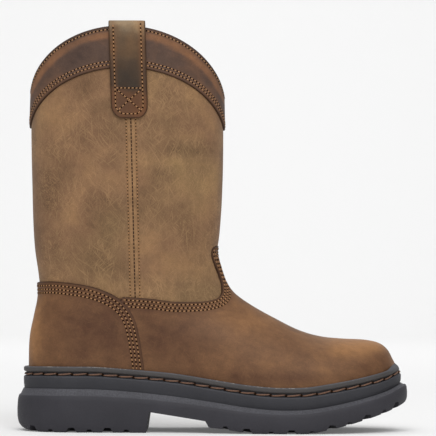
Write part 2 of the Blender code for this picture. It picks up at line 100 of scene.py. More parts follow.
# Mesh density of the fine pieces
SIDE_STEPS = 84
ROWS_PER_SECTION = 6
SHAFT_ROWS = 44
SOLE_STEPS = 110
PLAN_STEPS = 500
SEAM_STEPS = 120

# Columns of the skin's data: point, normal, share along its row, height above the collar,
# and place seen from the side
POINT = slice(0, 3)
NORMAL = slice(3, 6)
POINT_AND_NORMAL = slice(0, 6)
SHARE, ABOVE, SIDE_X, SIDE_Z = 6, 7, 8, 9
SIDE = slice(8, 10)

# Cutting and sewing: tolerances, and how far from an edge its distance is worked out
RIM_TOLERANCE = 0.3
BACK_SEAM_TOLERANCE = 0.05
CUT_TOLERANCE = 0.02
ROW_REACH = 14.0
PARTS_AT_ONCE = 24
EDGE_ROWS = (0.3, 1.0)
HALF_STEP = 0.4
RAY_START = 200.0

# Overlays: inner face above the skin, and the share of its thickness that a cut edge keeps
PANEL_FOOT = 0.05
EDGE_SHARE = 0.4
TUCK = 0.8
PAST_TOE_X = 170.0


def table(columns, rows):
    """A short table as a dict of named columns."""
    return {name: np.array(values, float) for name, values in zip(columns, zip(*rows))}


PLAN = table(
    ("x", "centre", "half"),
    [
        (-146, -2.2, 33.5),
        (-110, -2.2, 33.8),
        (-70, -2.7, 33.5),
        (-35, -3.7, 34.0),
        (0, -3.7, 38.0),
        (30, -2.2, 43.5),
        (55, -0.7, 46.6),
        (70, 0.3, BALL_HALF_WIDTH),
        (100, 2.8, BALL_HALF_WIDTH),
        (146, 5.8, BALL_HALF_WIDTH),
    ],
)
SOLE_LINES = table(
    ("x", "welt", "shelf", "tread"),
    [
        (-157, 51.1, 33.6, 7.0),
        (-151, 51.2, 33.7, 3.0),
        (-146, 51.3, 33.8, 1.3),
        (-138, 51.6, 34.0, 0.2),
        (-130, 51.7, 34.1, 0.0),
        (-100, 51.8, 34.0, 0.0),
        (-65, 49.8, 32.1, 0.0),
        (-30, 46.8, 28.6, 0.0),
        (0, 42.2, 24.4, 0.0),
        (30, 37.8, 20.0, 0.0),
        (55, 36.1, 18.2, 0.0),
        (72, 36.4, 18.6, 0.0),
        (90, 38.9, 21.0, 2.8),
        (118, 44.1, 27.0, 10.0),
        (138, 49.2, 32.8, 16.6),
        (148, 53.3, 37.2, 20.6),
        (157, 53.9, 41.2, 24.5),
    ],
)
SECTIONS = table(
    ("top_x", "top_z", "base_x", "base_z", "roll_from", "fullness"),
    [
        (TOE_X, 48.8, TOE_X, 48.8, 0.00, 2.3),
        (144.3, 53.0, 144.3, 48.0, 0.00, 2.3),
        (142.2, 57.2, 142.2, 47.0, 0.00, 2.3),
        (138.4, 64.0, 138.4, 45.0, 0.00, 2.3),
        (132.0, 68.6, 131.4, 43.0, 0.00, 2.3),
        (121.0, 70.9, 120.0, 40.0, 0.00, 2.3),
        (104.0, 71.7, 102.0, 37.0, 0.00, 2.2),
        (86.0, 73.5, 84.0, 33.6, 0.00, 2.15),
        (68.0, 78.6, 64.0, 31.7, 0.00, 2.1),
        (48.0, 88.4, 40.0, 32.2, 0.00, 2.05),
        (30.0, 98.4, 12.0, 35.8, 0.05, 2.0),
        (16.5, 108.0, -22.0, 41.2, 0.15, 2.0),
        (9.8, 117.0, -64.0, 45.2, 0.32, 2.0),
        (6.2, 126.0, -108.0, 47.0, 0.48, 2.05),
        (4.4, 133.0, -134.0, 47.0, 0.545, 2.1),
        (3.7, 137.0, LAST_HEEL_X, 46.7, 0.57, 2.1),
        (3.2, 141.5, LAST_HEEL_X, 62.0, 0.555, 2.1),
        (3.6, 147.0, -142.8, 84.0, 0.53, 2.1),
        (4.7, 154.5, -138.3, 108.0, 0.50, 2.1),
        (5.7, 166.0, -141.4, 134.0, 0.50, 2.1),
        (6.7, 182.0, -144.0, 164.0, 0.50, 2.1),
        (7.4, 202.0, -145.2, 196.0, 0.50, 2.1),
    ],
)
HEEL_SECTION = 15
BACK = table(
    ("z", "x", "half", "round_depth"),
    [
        (40, LAST_HEEL_X, 33.5, 41),
        (60, LAST_HEEL_X, 34.0, 42),
        (76, -144.1, 34.5, 45),
        (92, -141.0, 35.5, 52),
        (108, -138.3, 36.5, 62),
        (124, -139.8, 37.6, 70),
        (145, -142.9, 39.6, 73),
        (200, -145.4, 44.2, 76),
        (245, -146.3, 46.4, 77),
        (275, -145.6, 46.9, 77),
        (330, -145.0, 47.6, 77),
    ],
)
FRONT = table(("z", "x"), [(196, 7.2), (202, 7.4), (229, 7.7), (245, 7.6), (268, 7.1), (330, 6.6)])
VAMP_EDGE = table(
    ("x", "z"),
    [
        (-90, 107.5),
        (-61.9, 106.0),
        (-46.9, 104.8),
        (-28.9, 102.6),
        (-13.9, 102.5),
        (-2.9, 103.4),
        (3.9, 105.9),
        (6.5, 110.6),
        (6.3, 115.5),
        (3.6, 124.4),
        (0.4, 132.8),
        (-1.6, 140.2),
        (-0.8, 145.2),
        (2.6, 147.4),
        (20, 147.4),
    ],
)
COUNTER_EDGE = table(
    ("x", "z"),
    [
        (-165, 117.8),
        (-140, 118.0),
        (-128.9, 118.4),
        (-112.9, 117.2),
        (-95.9, 114.4),
        (-83.9, 110.4),
        (-73.9, 105.0),
        (-65.9, 97.2),
        (-60.5, 87.0),
        (-57.1, 73.6),
        (-54.9, 60.4),
        (-53.5, 50.4),
        (-52.5, 20.0),
    ],
)

# Soft troughs (positive depth) and ridges in the leather, as lines seen from the side
CREASES = table(
    ("x0", "z0", "x1", "z1", "depth", "width", "side"),
    [
        (-16, 122, 6, 112, 0.5, 6.0, 0),
        (-34, 128, -2, 131, 0.45, 7.0, 0),
        (-128, 131, -92, 124, 0.5, 7.0, 0),
        (-132, 147, -100, 150, 0.4, 8.0, 0),
        (-48, 196, 0, 189, 0.5, 9.0, -1),
        (-30, 176, -4, 184, -0.4, 8.0, -1),
        (-122, 206, -84, 214, 0.45, 10.0, -1),
        (-120, 168, -80, 160, -0.4, 9.0, -1),
        (-52, 219, -8, 226, 0.4, 9.0, 1),
        (-125, 182, -82, 190, 0.45, 9.0, 1),
        (22, 84, 40, 62, 0.35, 6.0, 0),
        (36, 80, 58, 60, 0.35, 7.0, 0),
        (52, 72, 76, 58, 0.3, 7.0, 0),
    ],
)

# Lighter (positive) and darker patches of leather, as soft ovals seen from the side
SHAFT_TONES = table(
    ("x", "z", "reach_x", "reach_z", "amount"),
    [
        (-102, 233, 14, 8, -0.8),
        (-20, 222, 24, 5, -0.8),
        (-39, 205, 9, 7, -0.6),
        (-45, 245, 11, 6, -0.6),
        (-78, 214, 10, 6, -0.4),
        (-87, 131, 16, 7, -0.5),
        (-21, 159, 9, 12, -0.5),
        (-128, 180, 9, 18, -0.4),
        (-136, 220, 6, 24, 0.6),
        (-130, 251, 11, 10, 0.45),
        (-34, 213, 20, 5, 0.5),
        (-4, 198, 9, 12, 0.5),
        (-32, 130, 15, 10, 0.5),
        (-118, 166, 12, 5, 0.35),
        (-85, 196, 13, 6, 0.35),
    ],
)
# Patches of the oiled foot leather: mostly its own pulled-up colour, with painted top light on the toe's top and
# tip and painted shade on the lower toe
FOOT_TONES_AND_LIGHT = table(
    ("x", "z", "reach_x", "reach_z", "amount"),
    [
        (-143, 82, 8, 28, 1.0),
        (-95, 76, 34, 32, -0.55),
        (-85, 62, 14, 9, 0.15),
        (-20, 74, 28, 16, -0.22),
        (-48, 86, 9, 20, -0.3),
        (14, 84, 22, 18, 0.3),
        (40, 84, 16, 8, 0.35),
        (60, 60, 24, 10, 0.1),
        (110, 69, 32, 9, 0.95),
        (128, 67, 12, 6, 0.5),
        (114, 53, 22, 6, -0.35),
        (131, 60, 10, 6, -0.3),
        (88, 49, 14, 4, 0.3),
        (45, 43, 70, 6, -0.5),
        (142, 57, 4, 7, 0.5),
    ],
)

# Side seam, pull straps and stitch rows
SEAM_TOP = (-65.3, 252.0)
SEAM_FOOT = (-61.3, 104.0)
SEAM_ROW = 3.8
SEAM_LIFT = 0.25
# Section of the roll on each side of the seam, as (distance from its middle, height), dark next to the groove
SEAM_PROFILE = ((0.3, -0.25), (0.5, 0.1), (1.2, 0.32), (2.1, 0.28), (3.0, 0.02), (3.0, -0.4), (0.3, -0.5))
SEAM_DARK_TO = 0.5
SEAM_PITCH = 3.0
SEAM_FINE = 0.8
STRAP_TOP_X = -68.7
STRAP_FOOT_X = -65.9
STRAP_WIDTH = 28.8
STRAP_THICK = 2.2
STRAP_CORNER = 10.0
STRAP_OUTER_FOOT_Z = 246.7
STRAP_INNER_FOOT_Z = 272.0
STRAP_TOP_Z = 323.9
STRAP_ROW_IN = 3.6
# Gaps under the strap on the shaft, on the cuff and inside on the lining
STRAP_SHAFT_GAP = 0.2
STRAP_CUFF_GAP = 0.5
STRAP_LINING_GAP = 0.8
STRAP_FOOT_RISES = (0, 0.5, 1.5, 3, 5, 8, 12, 17)
# How far below and above the cuff's foot the strap climbs onto it
STRAP_CLIMB = (-16.0, 1.0)
STRAP_INSETS = np.array([0.0, 0.25, 0.7, 1.4])
STRAP_MIDDLE_STEPS = 16
STRAP_EDGE_ROUND = 1.1
STRAP_EDGE_SHARE = 0.45
STRAP_DARK_REACH = 0.8
STRAP_RUB = {"amount": 0.5, "inset": 3.4, "reach": 2.2}
BOX_TOP_Z = 270.5
BOX_FOOT_Z = 251.5
COUNTER_ROWS = (3.2, 6.2, 9.0)
VAMP_ROWS = (2.4, 5.1, 7.5)
CUFF_LOW_ROWS = (3.0, 5.5)
CUFF_TOP_ROW = 2.6
STITCH_SLANT = 0.12
FINE_ROW = 0.93
HOLE_SHARES = {1.0: 2.2, FINE_ROW: 2.05, SEAM_FINE: 1.4}
HOLE_LIFT = 0.13
BAND_WIDTH = 10.5
BAND_FADE = 2.0
BAND_SHADE = -0.24
TAB_SKIVE = 0.75
TAB_SKIVE_Z = (128.0, 144.0)

# Tread: arch seen from the side, and sizes of the notches
ARCH = [(-53.0, -6.0), (-49.8, 16.4), (-5.6, 9.6), (-2.7, 4.6)]
ARCH += [(8.0, 3.6), (23.0, 1.1), (35.0, -0.6), (35.0, -6.0)]
NOTCH_SIZES = {
    "large": {"width": 9.0, "top": 4.6, "depth": 3.8, "length": 27.0},
    "small": {"width": 6.0, "top": 2.8, "depth": 2.5, "length": 15.0},
    "slot": {"width": 5.0, "top": 4.0, "depth": 2.6, "length": 34.0},
}
# X of the notches along both edges and of the slots across the middle
NOTCH_X = {
    "large": (-141.6, -109.0, -81.0, 26.0, 60.6, 92.5, 121.5, 145.6),
    "small": (-126.6, -95.0, -66.2, 9.0, 44.6, 76.5, 106.4, 135.1),
    "slot": (-105.0, -77.0, 36.5, 53.5, 70.5, 87.0, 102.0),
}
# Notches start this far outside the sole's edge, and sink towards the toe
NOTCH_START = 3.0
TOE_NOTCH_SINK = 0.7
TOE_NOTCH_X = (0.0, 50.0)
FOREFOOT_CUT = 0.3
FOREFOOT_X = (-20.0, 60.0)
TREAD_BELOW_SHELF = 1.0
CUTTER_DROP = 12.0
CUTTER_REACH = 130.0


def srgb(red, green, blue):
    """A linear colour from a display colour of 0 to 255."""
    shares = np.array([red, green, blue]) / 255
    return tuple(np.where(shares <= 0.04045, shares / 12.92, ((shares + 0.055) / 1.055) ** 2.4))


def length_property(name, description, default):
    return FloatProperty(name=name, description=description, default=default * MM, unit="LENGTH", precision=5)


def colour_property(name, description, default):
    return FloatVectorProperty(name=name, description=description, default=default, subtype="COLOR", min=0, max=1)


class BootSizes(bpy.types.PropertyGroup):
    """Sizes of the leather pieces and the sewing."""

    vamp_thick: length_property("Vamp thickness", "Leather on the front of the foot", 1.6)
    counter_thick: length_property("Counter thickness", "Leather round the heel", 1.9)
    cuff_thick: length_property("Cuff thickness", "Band round the collar", 1.2)
    edge_round: length_property("Edge rounding", "Radius of a cut leather edge", 1.1)
    stitch_pitch: length_property("Stitch pitch", "Distance between stitches on the upper", 3.35)
    stitch_length: length_property("Stitch length", "Length of the thread that shows", 1.8)
    thread: length_property("Thread", "Width of the upper's thread", 0.72)
    welt_pitch: length_property("Welt stitch pitch", "Distance between stitches in the welt's groove", 12.1)
    welt_thread: length_property("Welt thread", "Width of the cord in the welt's groove", 1.35)


class BootColours(bpy.types.PropertyGroup):
    """Colours of the leathers, rubbers and threads."""

    shaft: colour_property("Shaft", "Tan nubuck of the shaft", srgb(120, 92, 65))
    shaft_light: colour_property("Shaft lights", "Paler patches of the shaft", srgb(140, 109, 74))
    shaft_dark: colour_property("Shaft shade", "Darker patches of the shaft", srgb(98, 74, 51))
    shaft_scuff: colour_property("Shaft scuffs", "Fine light scuffs of the shaft", srgb(158, 124, 86))
    seam: colour_property("Seam", "Rolled leather along the side seam", srgb(140, 107, 74))
    foot: colour_property("Foot", "Oiled leather of the vamp and counter", srgb(108, 76, 51))
    foot_light: colour_property("Foot rub", "Paler pulled-up leather", srgb(148, 106, 67))
    foot_dark: colour_property("Foot shade", "Dark patches of the oiled leather", srgb(74, 47, 32))
    cuff: colour_property("Cuff", "Dark leather of the collar band", srgb(82, 63, 53))
    cuff_light: colour_property("Cuff rub", "Rubbed edge of the collar band", srgb(126, 88, 61))
    cuff_dark: colour_property("Cuff shade", "Darkest part of the collar band", srgb(66, 51, 45))
    strap_light: colour_property("Strap fold", "Pale leather over the strap's fold", srgb(141, 119, 92))
    strap_rub: colour_property("Strap rub", "Rubbed edge of the strap", srgb(106, 71, 45))
    rubber: colour_property("Rubber", "Charcoal rubber of the sole", srgb(50, 49, 54))
    # Paler rubber for scuffed ledges and edges; on the shelf and the bead's top it also paints top light
    rubber_worn_and_lit: colour_property("Rubber edge", "Paler rubber on ledges and edges", srgb(81, 81, 86))
    thread: colour_property("Thread", "Thread of the upper", srgb(174, 131, 90))
    welt_thread: colour_property("Welt thread", "Thread in the welt's groove", srgb(112, 85, 70))
    lining: colour_property("Lining", "Inside of the shaft", srgb(140, 112, 84))
    footbed: colour_property("Footbed", "Cover of the insole", srgb(112, 96, 78))


# Shape of the last


def smooth(xs, ys, at):
    """Monotone cubic through the table's points, so a level stretch stays level."""
    xs, ys, at = np.asarray(xs, float), np.asarray(ys, float), np.asarray(at, float)
    step = np.diff(xs)
    slope = np.diff(ys) / step
    tangent = np.concatenate([slope[:1], (slope[:-1] + slope[1:]) / 2, slope[-1:]])
    tangent[1:-1] = np.where(slope[:-1] * slope[1:] <= 0, 0, tangent[1:-1])
    limit = 3 * np.minimum(np.abs(np.append(slope, slope[-1])), np.abs(np.insert(slope, 0, slope[0])))
    tangent = np.clip(tangent, -limit, limit)
    at = np.clip(at, xs[0], xs[-1])
    i = np.clip(np.searchsorted(xs, at, side="right") - 1, 0, len(step) - 1)
    t = (at - xs[i]) / step[i]
    return (
        ys[i] * (1 + 2 * t) * (1 - t) ** 2
        + tangent[i] * step[i] * t * (1 - t) ** 2
        + ys[i + 1] * t**2 * (3 - 2 * t)
        + tangent[i + 1] * step[i] * t**2 * (t - 1)
    )


def look_up(data, key, column, at):
    return smooth(data[key], data[column], at)


def ease(value, low, high):
    t = np.clip((np.asarray(value, float) - low) / (high - low), 0, 1)
    return t * t * (3 - 2 * t)


def unit(vectors):
    """Vectors scaled to a length of 1."""
    return vectors / np.maximum(np.linalg.norm(vectors, axis=-1, keepdims=True), 1e-9)


def cosine_steps(count):
    """Shares from 0 to 1 that lie closer together towards both ends."""
    return (1 - np.cos(np.linspace(0, np.pi, count))) / 2


def rounding(t, power):
    """A quarter of a superellipse: 0 at t = 0, rising to 1 at t = 1."""
    t = np.clip(t, 0, 1)
    return np.clip(1 - (1 - t) ** power, 0, 1) ** (1 / power)


def feather_z(x):
    return look_up(SOLE_LINES, "x", "welt", x) - WELT_HEIGHT + SEAT_GAP


def plan_half(x):
    toe = (TOE_X - np.asarray(x, float)) / (TOE_X - BALL_X)
    return look_up(PLAN, "x", "half", x) * rounding(toe, TOE_ROUNDNESS)


def centre_y(x, z):
    return look_up(PLAN, "x", "centre", x) * (1 - ease(z, *FOOT_TO_SHAFT_Z))


def half_width(x, z, q, roll_from, fullness):
    shaft_share = ease(z, *FOOT_TO_SHAFT_Z)
    width = (1 - shaft_share) * plan_half(x) + shaft_share * look_up(BACK, "z", "half", z)
    back_depth = look_up(BACK, "z", "round_depth", z)
    back = rounding((x - look_up(BACK, "z", "x", z)) / back_depth, HEEL_ROUNDNESS)
    return width * back * rounding((1 - q) / (1 - roll_from), fullness)


def shaft_surface(x, z):
    back_x, front_x = look_up(BACK, "z", "x", z), look_up(FRONT, "z", "x", z)
    q = (x - back_x) / (front_x - back_x)
    return half_width(x, z, q, SECTIONS["roll_from"][-1], SECTIONS["fullness"][-1])


def scallop(q):
    """The collar's wave: 0 at the back and the front, 1 at the side."""
    side = np.clip(4 * q * (1 - q), 0, 1)
    soft = SCALLOP_SOFTNESS
    return (np.sqrt(side + soft**2) - soft) / (np.sqrt(1 + soft**2) - soft)


def collar_z(q):
    return COLLAR_BACK_Z + (COLLAR_FRONT_Z - COLLAR_BACK_Z) * q + SCALLOP_RISE * scallop(q)


def cuff_depth(q):
    return CUFF_DEPTH_BACK + (CUFF_DEPTH_FRONT - CUFF_DEPTH_BACK) * q + CUFF_DEPTH_SIDE_GAIN * scallop(q)


def section_rows():
    """Rows of (x, z, half width) along the boot, from the toe to the collar, and the share q along each."""
    q = cosine_steps(SIDE_STEPS + 1)
    last = len(SECTIONS["top_x"]) - 1
    numbers = np.arange(last + 1)
    rows = []
    for at in np.linspace(0, last, last * ROWS_PER_SECTION + 1):
        row = {name: smooth(numbers, column, at) for name, column in SECTIONS.items()}
        if at <= HEEL_SECTION:
            row["base_z"] = feather_z(row["base_x"])
        else:
            row["base_x"] = look_up(BACK, "z", "x", row["base_z"])
        if at == 0:
            row["top_z"] = row["base_z"]
        x = row["base_x"] + q * (row["top_x"] - row["base_x"])
        z = row["base_z"] + q * (row["top_z"] - row["base_z"])
        rows.append((x, z, half_width(x, z, q, row["roll_from"], row["fullness"])))
    start_z = rows[-1][1]
    for share in np.linspace(0, 1, SHAFT_ROWS + 1)[1:]:
        z = start_z + share * (collar_z(q) - start_z)
        back_x, front_x = look_up(BACK, "z", "x", z), look_up(FRONT, "z", "x", z)
        x = back_x + q * (front_x - back_x)
        rows.append((x, z, shaft_surface(x, z)))
    return rows, q


def grid_normals(points, heel_row):
    """Outward normals of the skin's grid, joined over the closed back of the rows behind the heel."""
    along = np.gradient(points, axis=1)
    closing = points[heel_row:, 1] - points[heel_row:, -2]
    along[heel_row:, 0] = closing
    along[heel_row:, -1] = closing
    up = np.gradient(points, axis=0)
    normals = unit(np.cross(along, up))
    normals[0] = (1, 0, 0)
    return normals


def to_segments(points, starts, ends):
    """Distance of each point from each segment, and the share along it of the nearest spot."""
    run = ends - starts
    offset = points[:, None] - starts[None]
    share = np.clip((offset * run).sum(2) / np.maximum((run**2).sum(1), 1e-9), 0, 1)
    return np.linalg.norm(offset - share[..., None] * run, axis=2), share


def crease_depth(points, side):
    """How far the leather is pushed in at each point by the creases."""
    c = CREASES
    starts, ends = np.stack([c["x0"], c["z0"]], 1), np.stack([c["x1"], c["z1"]], 1)
    away, share = to_segments(points[:, [0, 2]], starts, ends)
    fade = np.sin(np.pi * np.clip(share, 0.04, 0.96)) ** 0.7
    applies = (c["side"][None] == 0) | (c["side"][None] == side[:, None])
    return (applies * c["depth"] * fade * np.exp(-((away / c["width"]) ** 2))).sum(1)


def tone(patches, spots):
    """How much lighter or darker the leather is at points seen from the side."""
    along = (spots[:, :1] - patches["x"]) / patches["reach_x"]
    up = (spots[:, 1:] - patches["z"]) / patches["reach_z"]
    return (patches["amount"] * np.exp(-(along**2 + up**2))).sum(1)


def skin_data():
    """The upper's outer face as triangles, with its columns of data."""
    rows, q = section_rows()
    points = []
    for x, z, half in rows:
        middle = centre_y(x, z)
        lateral = np.stack([x, middle - half, z], 1)
        medial = np.stack([x, middle + half, z], 1)
        points.append(np.concatenate([lateral, medial[-2::-1]]))
    points = np.array(points)
    heel_row = HEEL_SECTION * ROWS_PER_SECTION
    normals = grid_normals(points, heel_row)
    across = points.shape[1]
    side = np.tile(np.concatenate([-np.ones(SIDE_STEPS), [0], np.ones(SIDE_STEPS)]), len(points))
    flat = points.reshape(-1, 3)
    dent = crease_depth(flat, side).reshape(points.shape[:2])
    moved = points - normals * dent[..., None]
    is_joined = np.linalg.norm(moved[:, 0] - moved[:, -1], axis=1) < BACK_SEAM_TOLERANCE
    moved[is_joined, -1] = moved[is_joined, 0]
    normals = grid_normals(moved, heel_row)
    share = np.tile(np.concatenate([q, q[-2::-1]]), len(points))
    above = flat[:, 2] - collar_z(share)
    data = np.column_stack([moved.reshape(-1, 3), normals.reshape(-1, 3), share, above, flat[:, [0, 2]]])
    faces = []
    for row in range(len(points) - 1):
        first = row * across + np.arange(across - 1)
        faces.append(np.stack([first, first + 1, first + across + 1], 1))
        faces.append(np.stack([first, first + across + 1, first + across], 1))
    return merge_points(data, np.concatenate(faces))


def merge_points(data, faces):
    """Joins points that lie together, such as those of the toe tip and of the back seam."""
    keys = np.round(data[:, POINT], 3)
    _, first, same = np.unique(keys, axis=0, return_index=True, return_inverse=True)
    faces = same.reshape(-1)[faces]
    whole = (faces[:, 0] != faces[:, 1]) & (faces[:, 1] != faces[:, 2]) & (faces[:, 0] != faces[:, 2])
    return data[first], faces[whole]


# Cutting panels out of the skin


def split_at(data, column, faces, level):
    """Cuts the triangles along a level of one column, so that the level becomes a row of edges."""
    value = data[:, column] - level
    value[np.abs(value) < CUT_TOLERANCE] = 0
    signs = np.sign(value)[faces]
    crossing = (signs.max(1) > 0) & (signs.min(1) < 0)
    added, made, cut_faces = [], {}, []

    def cut(a, b):
        key = (min(a, b), max(a, b))
        if key not in made:
            low, high = key
            t = value[low] / (value[low] - value[high])
            made[key] = len(data) + len(added)
            added.append(data[low] + t * (data[high] - data[low]))
        return made[key]

    for triangle in faces[crossing]:
        sign = np.sign(value[triangle])
        on_level = np.flatnonzero(sign == 0)
        lone = on_level[0] if len(on_level) else np.flatnonzero(sign == -np.sign(sign.sum()))[0]
        a, b, c = np.roll(triangle, -lone)
        if len(on_level):
            middle = cut(b, c)
            cut_faces += [(a, b, middle), (a, middle, c)]
        else:
            ab, ac = cut(a, b), cut(a, c)
            cut_faces += [(a, ab, ac), (ab, b, c), (ab, c, ac)]
    data = np.concatenate([data, added]) if added else data
    faces = np.concatenate([faces[~crossing], cut_faces]) if cut_faces else faces
    return data, faces.astype(int)


def keep_faces(data, faces, keep):
    """The chosen triangles with only the points that they use."""
    faces = faces[keep]
    used, faces = np.unique(faces, return_inverse=True)
    return data[used], faces.reshape(-1, 3)


def with_column(data, values):
    return np.column_stack([data, values]), data.shape[1]


def edge_curve(edge, steps=160):
    """A smooth curve through a panel edge's points, by the length along it."""
    run = np.hypot(np.diff(edge["x"]), np.diff(edge["z"]))
    length = np.concatenate([[0], np.cumsum(run)])
    at = np.linspace(0, length[-1], steps)
    return np.stack([smooth(length, edge["x"], at), smooth(length, edge["z"], at)], axis=1)


def nearest(points, starts, ends):
    """Distance of each point from the nearest of some segments."""
    parts = np.array_split(points, PARTS_AT_ONCE)
    return np.concatenate([to_segments(part, starts, ends)[0].min(1) for part in parts])


def inside(outline, points):
    """Which 2-D points lie inside a closed outline."""
    x, z = points[:, 0], points[:, 1]
    within = np.zeros(len(points), bool)
    for (x0, z0), (x1, z1) in zip(outline, np.roll(outline, -1, axis=0)):
        if z0 == z1:
            continue
        crosses = (z0 > z) != (z1 > z)
        within ^= crosses & (x < (x1 - x0) * (z - z0) / (z1 - z0) + x0)
    return within


def signed_distance(outline, points):
    away = nearest(points, outline, np.roll(outline, -1, axis=0))
    return np.where(inside(outline, points), away, -away)


def cut_panel(data, faces, inside_by, free_edges, edge_round):
    """The part of the skin where inside_by is positive, with columns of the distances from its free edges.

    Each free edge is a function of the data that is near zero along it, and gets rows of edges for its rounding.
    """
    data, inner = with_column(data, inside_by)
    data, faces = split_at(data, inner, faces, 0.0)
    data, faces = keep_faces(data, faces, data[faces, inner].mean(1) > 0)
    columns = []
    for away_from in free_edges:
        flat = away_from(data)
        rim = open_edges(faces)
        rim = rim[flat[rim].max(1) < RIM_TOLERANCE]
        away = np.maximum(flat, ROW_REACH)
        near = flat < ROW_REACH
        away[near] = nearest(data[near, POINT], data[rim[:, 0], POINT], data[rim[:, 1], POINT])
        data, column = with_column(data, away)
        columns.append(column)
    for column in columns:
        for share in EDGE_ROWS:
            data, faces = split_at(data, column, faces, share * edge_round)
    return data, faces, columns


def open_edges(faces):
    """Edges that only one triangle has, in its direction."""
    edges = np.concatenate([faces[:, [0, 1]], faces[:, [1, 2]], faces[:, [2, 0]]])
    keys = np.sort(edges, axis=1)
    _, first, counts = np.unique(keys, axis=0, return_index=True, return_counts=True)
    return edges[first[counts == 1]]


def shell(points, normals, faces, outer, inner):
    """A closed wall: points and faces of an outer and an inner face and the rim between them."""
    count = len(points)
    walls = np.concatenate([points + normals * np.reshape(height, (-1, 1)) for height in (outer, inner)])
    rim = open_edges(faces)
    rim_faces = np.stack([rim[:, 1], rim[:, 0], rim[:, 0] + count, rim[:, 1] + count], 1)
    return walls, [*faces.tolist(), *(faces[:, ::-1] + count).tolist(), *rim_faces.tolist()]


def contours(data, faces, column, level):
    """Lines of one level over the triangles, as lists of (point, normal)."""
    value = data[:, column] - level
    signs = value[faces] > 0
    links, spots = {}, {}

    def spot(a, b):
        key = (min(a, b), max(a, b))
        if key not in spots:
            low, high = key
            t = value[low] / (value[low] - value[high])
            ends = data[[low, high], POINT_AND_NORMAL]
            spots[key] = ends[0] + t * (ends[1] - ends[0])
        return key

    for triangle, sign in zip(faces, signs):
        if sign.all() or not sign.any():
            continue
        sides = zip(triangle, np.roll(triangle, -1))
        ends = [spot(a, b) for a, b in sides if (value[a] > 0) != (value[b] > 0)]
        for one, other in (ends, ends[::-1]):
            links.setdefault(one, []).append(other)
    lines, seen = [], set()
    for start in sorted(links, key=lambda key: (len(links[key]) != 1, key)):
        if start in seen:
            continue
        line, here = [start], start
        seen.add(start)
        while True:
            onward = [key for key in links[here] if key not in seen]
            if not onward:
                break
            here = onward[0]
            seen.add(here)
            line.append(here)
        if len(line) > 3:
            lines.append(np.array([spots[key] for key in line]))
    return lines


# Objects


def select_only(obj):
    bpy.ops.object.select_all(action="DESELECT")
    bpy.context.view_layer.objects.active = obj
    obj.select_set(True)


def new_piece(name, points, faces, material, attributes=(), sharp_angle=40):
    """A piece from points in millimetres, with its place in its mesh."""
    mesh = bpy.data.meshes.new(name)
    mesh.from_pydata((np.asarray(points) * MM).tolist(), [], [list(f) for f in faces])
    for label, values in attributes:
        mesh.attributes.new(label, "FLOAT", "POINT").data.foreach_set("value", np.asarray(values, np.float32))
    mesh.materials.append(material)
    mesh.validate()
    obj = bpy.data.objects.new(name, mesh)
    bpy.context.scene.collection.objects.link(obj)
    mesh.shade_smooth()
    if sharp_angle:
        select_only(obj)
        bpy.ops.object.shade_smooth_by_angle(angle=math.radians(sharp_angle))
    return obj


def hand_over(obj, slot, *nodes):
    """Lets a piece ride on the boot and stand for its solids; its slot argument is not used."""
    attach(obj, BODY)
    if nodes:
        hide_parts(*nodes)


# Materials


